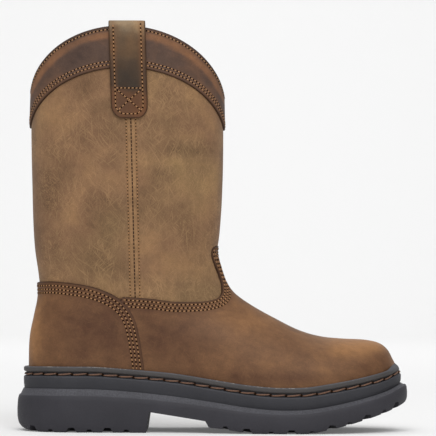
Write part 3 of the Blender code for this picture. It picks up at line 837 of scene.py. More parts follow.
class Finish:
    """A material's nodes, added one after another."""

    def __init__(self, name):
        self.material = bpy.data.materials.new(name)
        self.material.use_nodes = True
        self.tree = self.material.node_tree
        self.shader = self.tree.nodes["Principled BSDF"]
        self.place = self.add("ShaderNodeTexCoord").outputs["Object"]

    def add(self, kind, **settings):
        node = self.tree.nodes.new(kind)
        for key, value in settings.items():
            setattr(node, key, value)
        return node

    def feed(self, socket, value):
        """Joins an output to a socket, or sets the socket itself to a number, vector or colour."""
        if hasattr(value, "is_output"):
            self.tree.links.new(value, socket)
        else:
            socket.default_value = (*value, 1) if socket.type == "RGBA" else value

    def put(self, node, values):
        for key, value in values.items():
            self.feed(node.inputs[key], value)
        return node

    def noise(self, scale, detail=2.0, rough=0.5, vector=None, distortion=0.0):
        values = {"Vector": vector or self.place, "Scale": scale, "Detail": detail}
        values.update({"Roughness": rough, "Distortion": distortion})
        return self.put(self.add("ShaderNodeTexNoise"), values).outputs["Fac"]

    def stretched(self, turn, size, vector=None):
        """Coordinates turned by Euler angles in degrees, then counted in cells of the given size in metres."""
        node = self.add("ShaderNodeMapping", vector_type="TEXTURE")
        turned = [math.radians(angle) for angle in turn]
        self.put(node, {"Vector": vector or self.place, "Rotation": turned, "Scale": size})
        return node.outputs["Vector"]

    def ramp(self, value, stops):
        node = self.add("ShaderNodeValToRGB")
        marks = node.color_ramp.elements
        while len(marks) < len(stops):
            marks.new(0.5)
        for mark, (position, colour) in zip(marks, stops):
            mark.position = position
            mark.color = (*colour, 1) if len(np.shape(colour)) else (colour, colour, colour, 1)
        self.feed(node.inputs["Fac"], value)
        return node.outputs["Color"]

    def mix(self, share, first, second, mode="MIX"):
        node = self.add("ShaderNodeMix", data_type="RGBA", blend_type=mode)
        sockets = {socket.identifier: socket for socket in node.inputs}
        for key, value in (("Factor_Float", share), ("A_Color", first), ("B_Color", second)):
            self.feed(sockets[key], value)
        return next(s for s in node.outputs if s.identifier == "Result_Color")

    def shaded(self, base, value, stops):
        """A colour multiplied by a ramp of a value."""
        return self.mix(1.0, base, self.ramp(value, stops), "MULTIPLY")

    def math(self, operation, first, second=0.0, clamp=False):
        node = self.add("ShaderNodeMath", operation=operation, use_clamp=clamp)
        for socket, value in zip(node.inputs, (first, second)):
            self.feed(socket, value)
        return node.outputs[0]

    def attribute(self, name):
        return self.add("ShaderNodeAttribute", attribute_name=name).outputs["Fac"]

    def bump(self, height, depth_mm, strength):
        """Adds relief on top of any that the shader has."""
        node = self.add("ShaderNodeBump")
        self.put(node, {"Height": height, "Distance": depth_mm * MM, "Strength": strength})
        normal = self.shader.inputs["Normal"]
        if normal.links:
            self.feed(node.inputs["Normal"], normal.links[0].from_socket)
        self.feed(normal, node.outputs["Normal"])

    def done(self, colour, roughness, specular):
        """The material, with its colour, roughness and shine set or joined."""
        self.put(self.shader, {"Base Color": colour, "Roughness": roughness, "Specular IOR Level": specular})
        return self.material


def warped(finish, scale, reach_mm):
    """Coordinates pushed about by a soft noise, so that streaks curve."""
    noise = finish.add("ShaderNodeTexNoise")
    finish.put(noise, {"Vector": finish.place, "Scale": scale, "Detail": 1.0})
    centred = finish.add("ShaderNodeVectorMath", operation="SUBTRACT")
    finish.put(centred, {0: noise.outputs["Color"], 1: (0.5, 0.5, 0.5)})
    scaled = finish.add("ShaderNodeVectorMath", operation="SCALE")
    finish.put(scaled, {0: centred.outputs[0], "Scale": reach_mm * MM})
    moved = finish.add("ShaderNodeVectorMath", operation="ADD")
    finish.put(moved, {0: finish.place, 1: scaled.outputs[0]})
    return moved.outputs[0]


def scuffs(finish, angles, length_mm, width_mm, low, high):
    """Short light scratches in several directions, as one mask."""
    bent = warped(finish, 30.0, 10.0)
    mask = None
    for angle in angles:
        cells = finish.stretched((0, angle, 0), (width_mm * MM, 2.5 * width_mm * MM, length_mm * MM), bent)
        streak = finish.ramp(finish.noise(1.0, detail=1.5, vector=cells), [(low, 0.0), (high, 1.0)])
        mask = streak if mask is None else finish.math("MAXIMUM", mask, streak)
    return mask


CUT_EDGE = (0.03825, 0.0162, 0.0072)


def dark_edge(finish, colour):
    """Darkens the cut edge of a panel by its edge attribute."""
    return finish.mix(finish.attribute("edge"), colour, CUT_EDGE)


def shaft_finish(colours):
    finish = Finish("tan_nubuck")
    patches = finish.noise(26.0, detail=4.0, rough=0.6, distortion=0.3)
    level = finish.math("ADD", patches, finish.math("MULTIPLY", finish.attribute("tone"), 0.27))
    base = finish.ramp(level, [(0.26, colours.shaft_dark), (0.5, colours.shaft), (0.74, colours.shaft_light)])
    base = finish.shaded(base, finish.noise(14.0), [(0.38, (0.96, 1.0, 0.95)), (0.62, (1.04, 0.985, 1.01))])
    base = finish.shaded(base, finish.noise(110.0, detail=4.0, rough=0.7), [(0.35, 0.9), (0.65, 1.08)])
    mask = scuffs(finish, (22, -34, 48, -52, -6), 19.0, 0.85, 0.57, 0.74)
    clusters = finish.ramp(finish.noise(34.0), [(0.38, 0.2), (0.62, 0.6)])
    base = finish.mix(finish.math("MULTIPLY", mask, clusters), base, colours.shaft_scuff)
    nap = finish.noise(1500.0)
    base = finish.shaded(base, nap, [(0.3, 0.84), (0.7, 1.12)])
    finish.bump(finish.noise(260.0, detail=3.0), 0.25, 0.5)
    finish.bump(nap, 0.12, 0.5)
    finish.put(finish.shader, {"Sheen Weight": 0.05})
    return finish.done(base, finish.ramp(mask, [(0.0, 0.78), (1.0, 0.66)]), 0.25)


def oiled_finish(name, dark, middle, light, patch_scale):
    """Smooth oiled leather whose colour pulls up in soft patches, guided by its tone attribute."""
    finish = Finish(name)
    patches = finish.noise(patch_scale, detail=2.5, distortion=0.4)
    # On the vamp and counter the tone attribute also carries painted light on the toe
    guided = finish.math("MULTIPLY", finish.attribute("tone"), 0.3)
    level = finish.math("ADD", finish.math("MULTIPLY", patches, 0.42), guided)
    ragged = finish.noise(80.0, detail=4.0, rough=0.6, distortion=0.5)
    level = finish.math("ADD", level, finish.math("MULTIPLY", finish.math("SUBTRACT", ragged, 0.5), 0.22))
    base = finish.ramp(level, [(0.0, dark), (0.22, middle), (0.5, light)])
    cells = finish.stretched((0, 12, 0), (1.5, 1.0, 0.9))
    blotches = finish.noise(190.0, detail=4.0, rough=0.65, vector=cells)
    base = finish.shaded(base, blotches, [(0.3, 0.86), (0.7, 1.12)])
    mask = scuffs(finish, (72, 20, -50), 9.0, 0.9, 0.62, 0.78)
    base = finish.mix(finish.math("MULTIPLY", mask, 0.13), base, light)
    grain = finish.noise(1100.0, detail=3.0)
    base = finish.shaded(base, grain, [(0.3, 0.9), (0.7, 1.08)])
    finish.bump(finish.noise(420.0), 0.12, 0.4)
    finish.bump(grain, 0.08, 0.4)
    return finish.done(dark_edge(finish, base), finish.ramp(patches, [(0.3, 0.52), (0.7, 0.66)]), 0.2)


def strap_finish(colours):
    """Oiled strap, pale where it folds over the collar and dark below."""
    finish = Finish("strap_leather")
    cloud = finish.noise(60.0, detail=3.0)
    drift = finish.math("MULTIPLY", finish.math("SUBTRACT", cloud, 0.5), 0.5)
    stops = [
        (0.0, srgb(88, 58, 38)),
        (0.25, srgb(85, 58, 39)),
        (0.36, srgb(53, 41, 31)),
        (0.62, srgb(70, 55, 42)),
        (0.85, srgb(104, 82, 60)),
        (1.0, colours.strap_light),
    ]
    base = finish.ramp(finish.math("ADD", finish.attribute("along"), drift), stops)
    base = finish.mix(finish.attribute("rub"), base, colours.strap_rub)
    base = finish.shaded(base, finish.noise(55.0), [(0.36, (0.9, 0.97, 1.06)), (0.64, (1.12, 1.02, 0.88))])
    grain = finish.noise(1100.0, detail=3.0)
    base = finish.shaded(base, grain, [(0.3, 0.92), (0.7, 1.07)])
    finish.bump(grain, 0.1, 0.5)
    return finish.done(dark_edge(finish, base), finish.ramp(cloud, [(0.3, 0.44), (0.7, 0.58)]), 0.2)


# Light flecks on the bead's upper edge: scuffs, and a painted highlight line broken up by noise
RUBBER_FLECK_HIGHLIGHT = srgb(166, 160, 150)
# The light flecks on the bead, scuffs and a painted highlight line, end here, short of the front of the toe
FLECK_HIGHLIGHT_FRONT_X = 126.0


def rubber_finish(name, base_colour, worn_and_lit_colour):
    """Moulded rubber, paler where its wear-and-light attribute nears 1, which stands for scuffing and painted top
    light together, and with ragged light flecks, scuffs and a painted highlight, where it passes 1.
    """
    finish = Finish(name)
    speck = finish.noise(900.0, detail=3.0)
    # The attribute carries real scuffing and painted top light together; past 1 it marks the flecks of painted
    # highlight
    wear_and_light_level = finish.attribute("wear_and_light")
    wear_and_light = finish.math("MULTIPLY", wear_and_light_level, finish.ramp(speck, [(0.35, 0.35), (0.65, 1.0)]), clamp=True)
    base = finish.mix(wear_and_light, base_colour, worn_and_lit_colour)
    base = finish.shaded(base, finish.noise(40.0, detail=4.0, rough=0.6), [(0.3, 0.9), (0.7, 1.08)])
    ragged = finish.ramp(finish.noise(330.0, detail=4.0, rough=0.7), [(0.5, 0.0), (0.57, 1.0)])
    runs = finish.ramp(finish.noise(24.0, detail=1.0), [(0.45, 0.1), (0.6, 1.0)])
    past_one = finish.math("SUBTRACT", wear_and_light_level, 1.0, clamp=True)
    flecks_and_highlight = finish.math("MULTIPLY", past_one, finish.math("MULTIPLY", ragged, runs))
    base = finish.mix(flecks_and_highlight, base, RUBBER_FLECK_HIGHLIGHT)
    finish.bump(speck, 0.08, 0.5)
    return finish.done(base, finish.ramp(speck, [(0.3, 0.58), (0.7, 0.74)]), 0.25)


def thread_finish(name, colour, twist_mm):
    finish = Finish(name)
    ply = finish.noise(1.0, detail=1.0, vector=finish.stretched((20, 35, 10), (twist_mm * MM,) * 3))
    finish.bump(ply, 0.15, 0.6)
    return finish.done(finish.shaded(colour, ply, [(0.35, 0.72), (0.65, 1.12)]), 0.62, 0.15)


def cloth_finish(name, colour, scale):
    finish = Finish(name)
    weave = finish.noise(scale, detail=3.0, rough=0.7)
    finish.bump(weave, 0.25, 0.7)
    return finish.done(finish.shaded(colour, weave, [(0.3, 0.8), (0.7, 1.12)]), 0.88, 0.5)


# Near-black finish that paints the shade inside needle holes and where the welt cord dives in, since the pits are
# too shallow to shade themselves
def hole_shade_finish():
    finish = Finish("needle_holes_painted_shade")
    dark = finish.ramp(finish.noise(300.0), [(0.3, (0.008, 0.004, 0.002)), (0.7, (0.022, 0.011, 0.006))])
    return finish.done(dark, 0.9, 0.0)


# Stitches


def along_line(line, pitch, margin=0.0):
    """Evenly spaced spots on a line of (point, normal): spots, directions and normals."""
    run = np.linalg.norm(np.diff(line[:, POINT], axis=0), axis=1)
    length = np.concatenate([[0], np.cumsum(run)])
    usable = length[-1] - 2 * margin
    if usable < pitch:
        return None
    count = max(int(round(usable / pitch)), 1)
    at = margin + (np.arange(count) + 0.5) * usable / count

    def value(s):
        return np.stack([np.interp(s, length, line[:, k]) for k in range(line.shape[1])], 1)

    middle = value(at)
    direction = unit(value(at + HALF_STEP)[:, POINT] - value(at - HALF_STEP)[:, POINT])
    normal = middle[:, NORMAL]
    normal = unit(normal - direction * (normal * direction).sum(1, keepdims=True))
    return middle[:, POINT], direction, normal


def as_pattern(obj):
    """Points in millimetres and faces of a modelled shape, which is then removed."""
    mesh = obj.data
    points = np.array([v.co for v in mesh.vertices]) / MM
    faces = [list(p.vertices) for p in mesh.polygons]
    bpy.data.objects.remove(obj)
    bpy.data.meshes.remove(mesh)
    return points, faces


def set_mode(mode):
    bpy.ops.object.mode_set(mode=mode)


def select_where(kind, chosen):
    """Selects the points, edges or faces of the mesh in edit mode for which chosen(part) is true."""
    bpy.ops.mesh.select_mode(type=kind)
    bpy.ops.mesh.select_all(action="DESELECT")
    set_mode("OBJECT")
    mesh = bpy.context.object.data
    for part in {"VERT": mesh.vertices, "EDGE": mesh.edges, "FACE": mesh.polygons}[kind]:
        part.select = bool(chosen(part))
    set_mode("EDIT")


def new_rod(vertices, radius, length):
    """A rod along X in edit mode, with everything selected."""
    bpy.ops.object.select_all(action="DESELECT")
    bpy.ops.mesh.primitive_cylinder_add(vertices=vertices, radius=radius * MM, depth=length * MM)
    rod = bpy.context.object
    rod.rotation_euler = (0, math.pi / 2, 0)
    bpy.ops.object.transform_apply(rotation=True)
    set_mode("EDIT")
    bpy.ops.mesh.select_mode(type="VERT")
    bpy.ops.mesh.select_all(action="SELECT")
    return rod


def stitch_shape(length, width, height):
    """One stitch along X: a short thread with rounded ends that dive into the leather."""
    rod = new_rod(6, width / 2, length)
    for end in (-1, 1):
        select_where("VERT", lambda vertex: end * vertex.co.x > 0.4 * length * MM)
        bpy.ops.mesh.extrude_region_move()
        bpy.ops.transform.resize(value=(1, 0.45, 0.45), center_override=(end * length / 2 * MM, 0, 0))
        bpy.ops.transform.translate(value=(end * 0.1 * length * MM, 0, -0.42 * width * MM))
    bpy.ops.mesh.select_all(action="SELECT")
    bpy.ops.transform.resize(value=(0.83, 1, height / width))
    bpy.ops.transform.translate(value=(0, 0, 0.25 * height * MM))
    set_mode("OBJECT")
    return as_pattern(rod)


def hole_shape(width):
    """One needle hole: a shallow pit in a low ring."""
    bpy.ops.object.select_all(action="DESELECT")
    low = (0, 0, -0.08 * MM)
    bpy.ops.mesh.primitive_cylinder_add(vertices=7, radius=width / 2 * MM, depth=0.24 * MM, location=low)
    pit = bpy.context.object
    bpy.ops.object.transform_apply(location=True)
    set_mode("EDIT")
    select_where("FACE", lambda face: face.normal.z > 0.9)
    bpy.ops.mesh.inset(thickness=0.12 * width * MM, depth=-0.08 * MM)
    set_mode("OBJECT")
    return as_pattern(pit)


def cord_shape(length, width):
    """One long welt stitch along X: a bowed cord, thick in the middle, whose ends turn up and dive inwards."""
    rod = new_rod(8, width / 2, length)
    bpy.ops.mesh.subdivide(number_cuts=7)
    set_mode("OBJECT")
    for vertex in rod.data.vertices:
        t = 2 * vertex.co.x / (length * MM)
        taper = 0.35 + 0.65 * math.sqrt(max(1 - abs(t) ** 2.4, 0.0))
        bow = 0.2 * width * MM * (t * t - 0.35) + 0.36 * width * MM * t
        vertex.co.y = vertex.co.y * taper + bow
        vertex.co.z = vertex.co.z * taper - 0.55 * width * MM * t**4
    return as_pattern(rod)


class Copies:
    """Gathers placed copies of small shapes into a single mesh."""

    def __init__(self):
        self.points, self.faces, self.count = [], [], 0

    def place(self, shape, spots, directions, normals):
        shape_points, shape_faces = shape
        across = np.cross(normals, directions)
        for spot, turn in zip(spots, np.stack([directions, across, normals], axis=1)):
            self.points.append(spot + shape_points @ turn)
            self.faces += [[self.count + c for c in face] for face in shape_faces]
            self.count += len(shape_points)

    def as_piece(self, name, material):
        return new_piece(name, np.concatenate(self.points), self.faces, material, sharp_angle=0)


class Sewing:
    """Thread and needle holes of the upper, collected row by row."""

    def __init__(self, sizes):
        self.pitch, self.length, self.width = sizes.stitch_pitch / MM, sizes.stitch_length / MM, sizes.thread / MM
        self.thread, self.dark_thread, self.holes = Copies(), Copies(), Copies()
        self.shapes = {}
        self.pits = {}
        self.dash = stitch_shape(0.75 * SEAM_PITCH, 1.5 * self.width, 0.5 * self.width)

    def shape(self, fineness):
        """The stitch of one kind of row, modelled the first time that it is needed."""
        if fineness not in self.shapes:
            self.shapes[fineness] = stitch_shape(fineness * self.length, self.width, 0.6 * self.width)
            self.pits[fineness] = hole_shape(HOLE_SHARES[fineness] * self.width * fineness)
        return self.shapes[fineness]

    def row(self, line, fineness=1.0, lift=0.0, margin=0.5):
        """Slightly slanted stitches along a line, with a hole at each end."""
        if len(line) < 3:
            return
        line = line.copy()
        line[:, POINT] += lift * line[:, NORMAL]
        pitch = fineness * self.pitch
        spots = along_line(line, pitch, margin)
        if spots is None:
            return
        middle, direction, normal = spots
        slanted = unit(direction + STITCH_SLANT * np.cross(normal, direction))
        self.thread.place(self.shape(fineness), middle, slanted, normal)
        # A dark pit at each stitch's end, painted shade inside the needle hole
        ends = middle + pitch / 2 * direction + HOLE_LIFT * normal
        self.holes.place(self.pits[fineness], ends, direction, normal)

    def seam(self, line):
        """The dark dashes that lie in a seam's groove."""
        self.dark_thread.place(self.dash, *along_line(line, SEAM_PITCH, 1.0))


SEWING = {}


def sewing():
    if "rows" not in SEWING:
        SEWING["rows"] = Sewing(bpy.context.scene.boot_sizes)
    return SEWING["rows"]


def tree_of(points, faces):
    return BVHTree.FromPolygons([Vector(p) for p in points], [tuple(f) for f in faces])


def drape(tree, curve, side):
    """Lays a curve seen from the side onto a surface: rows of (point, normal) where it meets it."""
    line = []
    for x, z in curve:
        spot, normal, _, _ = tree.ray_cast(Vector((x, side * RAY_START, z)), Vector((0, -side, 0)))
        if spot is not None:
            line.append((*spot, *normal))
    return np.array(line)


# Leather pieces


SKIN = {}


def skin():
    if "data" not in SKIN:
        SKIN["data"], SKIN["faces"] = skin_data()
    return SKIN["data"], SKIN["faces"]


def centre_plan():
    """Moves the plan sideways so that the outsole's widest points lie the same distance from the origin."""
    lateral, medial = plan_curve(SOLE_REACH)
    PLAN["centre"] -= (lateral[:, 1].min() + medial[:, 1].max()) / 2


class BOOT_OT_upper(bpy.types.Operator):
    """Hollow shaft and foot with its creases, and the seam down each side"""

    bl_idname = "boot.upper"
    bl_label = "Build upper"

    def execute(self, context):
        colours = context.scene.boot_colours
        data, faces = skin()
        points, walls = shell(data[:, POINT], data[:, NORMAL], faces, 0.0, -WALL)
        shade = [("tone", np.tile(tone(SHAFT_TONES, data[:, SIDE]), 2))]
        upper = new_piece("shaft_leather", points, walls, shaft_finish(colours), shade)
        upper.data.materials.append(cloth_finish("shaft_lining", colours.lining, 500.0))
        inner = np.zeros(len(upper.data.polygons), np.int32)
        inner[len(faces) : 2 * len(faces)] = 1
        upper.data.polygons.foreach_set("material_index", inner)
        hand_over(upper, "shaft_leather", "upper")
        self.side_seams(context, tree_of(data[:, POINT], faces))
        return {"FINISHED"}

    def side_seams(self, context, tree):
        """Two low rolls of leather either side of the seam, with its three rows of stitches."""
        colours = context.scene.boot_colours
        middle, heights = np.linspace(SEAM_FOOT, SEAM_TOP, SEAM_STEPS).T
        finish = oiled_finish("seam_leather", colours.shaft_dark, colours.seam, colours.shaft_light, 60.0)
        points, faces, edge = [], [], []
        for side in (-1, 1):
            for half in (-1, 1):
                start = len(points)
                for away, height in SEAM_PROFILE:
                    line = drape(tree, np.stack([middle + half * away, heights], 1), side)
                    points += list(line[:, POINT] + height * line[:, NORMAL])
                    edge += [float(away < SEAM_DARK_TO)] * len(line)
                rows, count = len(SEAM_PROFILE), len(heights)
                turn = 1 if side * half > 0 else -1
                for r in range(rows):
                    for i in range(count - 1):
                        a, b = start + r * count + i, start + ((r + 1) % rows) * count + i
                        faces.append((a, a + 1, b + 1, b)[::turn])
                for i in (0, count - 1):
                    cap = [start + r * count + i for r in range(rows)]
                    faces.append(cap[:: turn if i == 0 else -turn])
            sewing().seam(drape(tree, np.stack([middle, heights], 1), side))
            for offset in (-SEAM_ROW, SEAM_ROW):
                line = drape(tree, np.stack([middle + offset, heights], 1), side)
                sewing().row(line, SEAM_FINE, lift=SEAM_LIFT, margin=1.0)
        shade = tone(SHAFT_TONES, np.array(points)[:, [0, 2]])
        seams = new_piece("side_seams", points, faces, finish, [("edge", edge), ("tone", shade)])
        hand_over(seams, "shaft_leather")


class BOOT_OT_overlays(bpy.types.Operator):
    """Vamp, counter and cuff, cut out of the upper's own surface"""

    bl_idname = "boot.overlays"
    bl_label = "Build overlays"

    def execute(self, context):
        sizes = context.scene.boot_sizes
        self.make_counter(sizes.counter_thick / MM)
        self.make_vamp(sizes.vamp_thick / MM)
        self.make_cuff(context, sizes.cuff_thick / MM)
        return {"FINISHED"}

    def make_panel(self, name, node, panel, thickness, material, rows, shade):
        """A rounded leather wall from a cut panel, and its stitch rows as (edge, distances from it)."""
        data, faces, edges = panel
        edge_round = self.edge_round()
        rim = data[:, edges].min(1)
        share = np.clip(rim / edge_round, 0, 1)
        outer = LIFT + thickness * (EDGE_SHARE + (1 - EDGE_SHARE) * np.sqrt(1 - (1 - share) ** 2))
        points, walls = shell(data[:, POINT], data[:, NORMAL], faces, outer, PANEL_FOOT)
        darkness = np.exp(-((rim / edge_round) ** 2))
        attributes = [("edge", np.concatenate([darkness, np.ones(len(data))])), ("tone", np.tile(shade, 2))]
        piece = new_piece(name, points, walls, material, attributes)
        hand_over(piece, "cuff_leather" if node == "cuff" else "foot_leather", node)
        surface = data.copy()
        surface[:, POINT] += surface[:, NORMAL] * outer[:, None]
        for edge, levels in rows:
            for level in levels:
                for line in contours(surface, faces, edges[edge], level):
                    sewing().row(line, FINE_ROW if node == "cuff" else 1.0)

    def edge_round(self):
        return bpy.context.scene.boot_sizes.edge_round / MM

    def cut_foot(self, outline, edge):
        """The skin inside an outline seen from the side, with one free edge along a curve."""
        data, faces = skin()
        free = [lambda spots: nearest(spots[:, SIDE], edge[:-1], edge[1:])]
        return cut_panel(data, faces, signed_distance(outline, data[:, SIDE]), free, self.edge_round())

    def foot_finish(self, name):
        colours = bpy.context.scene.boot_colours
        return oiled_finish(name, colours.foot_dark, colours.foot, colours.foot_light, 17.0)

    def foot_tone_and_light(self, panel):
        """Tone of a foot panel: its patches, with painted light on the toe, and the darker band under its stitch
        rows.
        """
        data, _, edges = panel
        band = BAND_SHADE * (1 - ease(data[:, edges[0]], BAND_WIDTH - BAND_FADE, BAND_WIDTH + BAND_FADE))
        return tone(FOOT_TONES_AND_LIGHT, data[:, SIDE]) + band

    def make_counter(self, thickness):
        curve = edge_curve(COUNTER_EDGE)
        panel = self.cut_foot(np.concatenate([curve, [(curve[-1][0], 0.0), (curve[0][0], 0.0)]]), curve)
        finish, shade = self.foot_finish("counter_leather"), self.foot_tone_and_light(panel)
        self.make_panel("heel_counter", "counter", panel, thickness, finish, [(0, COUNTER_ROWS)], shade)

    def make_vamp(self, thickness):
        """The vamp, which runs a little way under the counter and thins out towards the top of its tab."""
        counter, top = edge_curve(COUNTER_EDGE), edge_curve(VAMP_EDGE, 200)
        apart = np.linalg.norm(counter[:, None] - top[None], axis=2)
        start, joined = np.unravel_index(np.argmin(apart), apart.shape)
        front = [(PAST_TOE_X, 0.0), (PAST_TOE_X, top[-1][1])]
        back = [(counter[-1][0] - TUCK, 0.0)]
        panel = self.cut_foot(np.concatenate([front, top[:joined:-1], counter[start:] - (TUCK, 0), back]), top)
        finish, shade = self.foot_finish("vamp_leather"), self.foot_tone_and_light(panel)
        skived = thickness * (1 - TAB_SKIVE * ease(panel[0][:, SIDE_Z], *TAB_SKIVE_Z))
        self.make_panel("vamp_front", "vamp", panel, skived, finish, [(0, VAMP_ROWS)], shade)

    def make_cuff(self, context, thickness):
        data, faces = skin()
        colours = context.scene.boot_colours

        def above_low(spots):
            return spots[:, ABOVE] + cuff_depth(spots[:, SHARE])

        free = [lambda spots: np.abs(above_low(spots)), lambda spots: np.abs(spots[:, ABOVE])]
        panel = cut_panel(data, faces, above_low(data), free, self.edge_round())
        finish = oiled_finish("cuff_leather", colours.cuff_dark, colours.cuff, colours.cuff_light, 24.0)
        low, top = (panel[0][:, column] for column in panel[2])
        side_x = panel[0][:, SIDE_X]
        stripe = 0.75 * ease(top, 2.5, 5.0) * (1 - ease(top, 8.0, 11.0))
        low_rub = 0.3 * np.exp(-((low / 6.0) ** 2))
        front_rub = 0.06 * ease(side_x, -32, -8) * ease(top, 4.0, 9.0)
        front_shade = -0.12 * ease(side_x, -40, 0)
        back_patch = -0.15 * np.exp(-(((side_x + 105) / 24) ** 2) - ((low - 15) / 7) ** 2)
        shade = np.clip(stripe + low_rub + front_rub + (front_shade + back_patch), -1, 1)
        rows = [(0, CUFF_LOW_ROWS), (1, (CUFF_TOP_ROW,))]
        self.make_panel("collar_cuff", "cuff", panel, thickness, finish, rows, shade)


class BOOT_OT_straps(bpy.types.Operator):
    """Pull straps folded over the collar, with their stitched edges and boxed ends"""

    bl_idname = "boot.straps"
    bl_label = "Build pull straps"

    def execute(self, context):
        finish = strap_finish(context.scene.boot_colours)
        for name, side in (("pull_strap_lateral", -1), ("pull_strap_medial", 1)):
            self.make_strap(context, name, side, finish)
        return {"FINISHED"}

    def path(self, cuff_thick):
        """Heights along the strap and its distance from the skin, from the outer end to the inner end."""
        outer = LIFT + cuff_thick + STRAP_CUFF_GAP + STRAP_THICK / 2
        inner = -(WALL + STRAP_LINING_GAP + STRAP_THICK / 2)
        on_shaft = STRAP_SHAFT_GAP + STRAP_THICK / 2
        cuff_low = float(collar_z(0.5) - cuff_depth(0.5))
        fold = (outer - inner) / 2
        fold_z = STRAP_TOP_Z - STRAP_THICK / 2 - fold
        path = [(STRAP_OUTER_FOOT_Z + rise, on_shaft) for rise in STRAP_FOOT_RISES]
        for t, climb in zip(np.linspace(0, 1, 9), np.linspace(*STRAP_CLIMB, 9)):
            path.append((cuff_low + climb, on_shaft + (outer - on_shaft) * float(ease(t, 0, 1))))
        path += [(z, outer) for z in np.linspace(cuff_low + 5, fold_z, 8)]
        for turn in np.linspace(0, np.pi, 17)[1:-1]:
            path.append((fold_z + fold * np.sin(turn), inner + fold * (1 + np.cos(turn))))
        path += [(z, inner) for z in np.linspace(fold_z, STRAP_INNER_FOOT_Z, 9)]
        return np.array(path)

    def half_at(self, z, is_outer):
        past = max(STRAP_CORNER - (z - STRAP_OUTER_FOOT_Z), 0.0)
        corner = STRAP_CORNER - math.sqrt(max(STRAP_CORNER**2 - past**2, 0.0))
        return STRAP_WIDTH / 2 - (corner if is_outer else 0.0)

    def share_up(self, z):
        return (z - STRAP_OUTER_FOOT_Z) / (STRAP_TOP_Z - STRAP_OUTER_FOOT_Z)

    def middle(self, z):
        """X of the leaning strap's middle at a height."""
        return STRAP_FOOT_X + self.share_up(z) * (STRAP_TOP_X - STRAP_FOOT_X)

    def spot(self, z, away, across, side):
        x = self.middle(z) + across
        skin_y = float(shaft_surface(x, min(z, COLLAR_BACK_Z + SCALLOP_RISE)))
        return np.array((x, side * (skin_y + away), z))

    def make_strap(self, context, name, side, finish):
        path = self.path(context.scene.boot_sizes.cuff_thick / MM)
        run = unit(np.gradient(path, axis=0))
        peak = int(np.argmax(path[:, 0]))
        points, along, darkness, rub = [], [], [], []
        for layer in (1, -1):
            for i, (z, away) in enumerate(path):
                half = self.half_at(z, i <= peak)
                last = STRAP_INSETS[-1]
                middle = np.linspace(last, 2 * half - last, STRAP_MIDDLE_STEPS)[1:-1]
                for place in np.concatenate([STRAP_INSETS, middle, 2 * half - STRAP_INSETS[::-1]]):
                    near = min(place, 2 * half - place)
                    if i <= peak:
                        near = min(near, z - STRAP_OUTER_FOOT_Z)
                    round_share = math.sqrt(max(1 - (1 - min(near / STRAP_EDGE_ROUND, 1.0)) ** 2, 0.0))
                    lift = layer * STRAP_THICK / 2 * (STRAP_EDGE_SHARE + (1 - STRAP_EDGE_SHARE) * round_share)
                    spot = self.spot(z, away + lift * run[i][0], place - half, side)
                    spot[2] -= lift * run[i][1]
                    points.append(spot)
                    along.append(self.share_up(z))
                    darkness.append(math.exp(-((near / STRAP_DARK_REACH) ** 2)))
                    from_rub = (near - STRAP_RUB["inset"]) / STRAP_RUB["reach"]
                    rub.append(STRAP_RUB["amount"] * math.exp(-(from_rub**2)))
        rows = len(path)
        columns = len(points) // (2 * rows)

        def at(layer, row, i):
            return (layer * rows + row) * columns + i

        faces = []
        for row in range(rows - 1):
            for i in range(columns - 1):
                quad = ((row, i), (row, i + 1), (row + 1, i + 1), (row + 1, i))
                faces.append([at(0, r, c) for r, c in quad])
                faces.append([at(1, r, c) for r, c in quad[::-1]])
            faces.append([at(0, row + 1, 0), at(1, row + 1, 0), at(1, row, 0), at(0, row, 0)])
            end = columns - 1
            faces.append([at(0, row, end), at(1, row, end), at(1, row + 1, end), at(0, row + 1, end)])
        for row, turn in ((0, 1), (rows - 1, -1)):
            for i in range(columns - 1):
                quad = [at(0, row, i), at(1, row, i), at(1, row, i + 1), at(0, row, i + 1)]
                faces.append(quad[::turn])
        if side > 0:
            faces = [face[::-1] for face in faces]
        attributes = [("along", along), ("edge", darkness), ("rub", rub)]
        strap = new_piece(name + "_leather", points, faces, finish, attributes)
        hand_over(strap, "cuff_leather", name)
        outer = (peak + 1) * columns
        self.sew(tree_of(points[:outer], [face for face in faces if max(face) < outer]), side)

    def sew(self, tree, side):
        """Rows along both edges, round the lower end, across the box and along its diagonals."""
        half = STRAP_WIDTH / 2 - STRAP_ROW_IN
        corner = STRAP_CORNER - 2.5
        foot = STRAP_OUTER_FOOT_Z + STRAP_ROW_IN
        outline = [(-half, z) for z in np.linspace(STRAP_TOP_Z - 3, foot + corner, 60)]
        for turn in np.linspace(0, math.pi / 2, 9)[1:]:
            outline.append((-half + corner * (1 - math.cos(turn)), foot + corner * (1 - math.sin(turn))))
        outline += [(x, foot) for x in np.linspace(-half + corner, 0, 12)[1:]]
        rows = [outline + [(-x, z) for x, z in outline[-2::-1]]]
        rows.append([(x, BOX_TOP_Z) for x in np.linspace(-half, half, 30)])
        for turn in (-1, 1):
            ends = np.linspace(0.08, 0.92, 30)
            rows.append([(turn * half * (2 * t - 1), BOX_FOOT_Z + t * (BOX_TOP_Z - BOX_FOOT_Z)) for t in ends])
        for row in rows:
            line = drape(tree, [(self.middle(z) + x, z) for x, z in row], side)
            sewing().row(line, FINE_ROW, margin=0.3)


class BOOT_OT_sewing(bpy.types.Operator):
    """Thread and needle holes of all the rows laid so far"""

    bl_idname = "boot.sewing"
    bl_label = "Sew the upper"

    def execute(self, context):
        rows = sewing()
        colours = context.scene.boot_colours
        thread = thread_finish("tan_thread", colours.thread, 0.5)
        dark = thread_finish("seam_thread", srgb(52, 31, 19), 0.5)
        hand_over(rows.thread.as_piece("upper_stitches", thread), "foot_leather")
        hand_over(rows.dark_thread.as_piece("seam_stitches", dark), "shaft_leather")
        hand_over(rows.holes.as_piece("needle_holes_painted_shade", hole_shade_finish()), "foot_leather")
        return {"FINISHED"}


# Sole


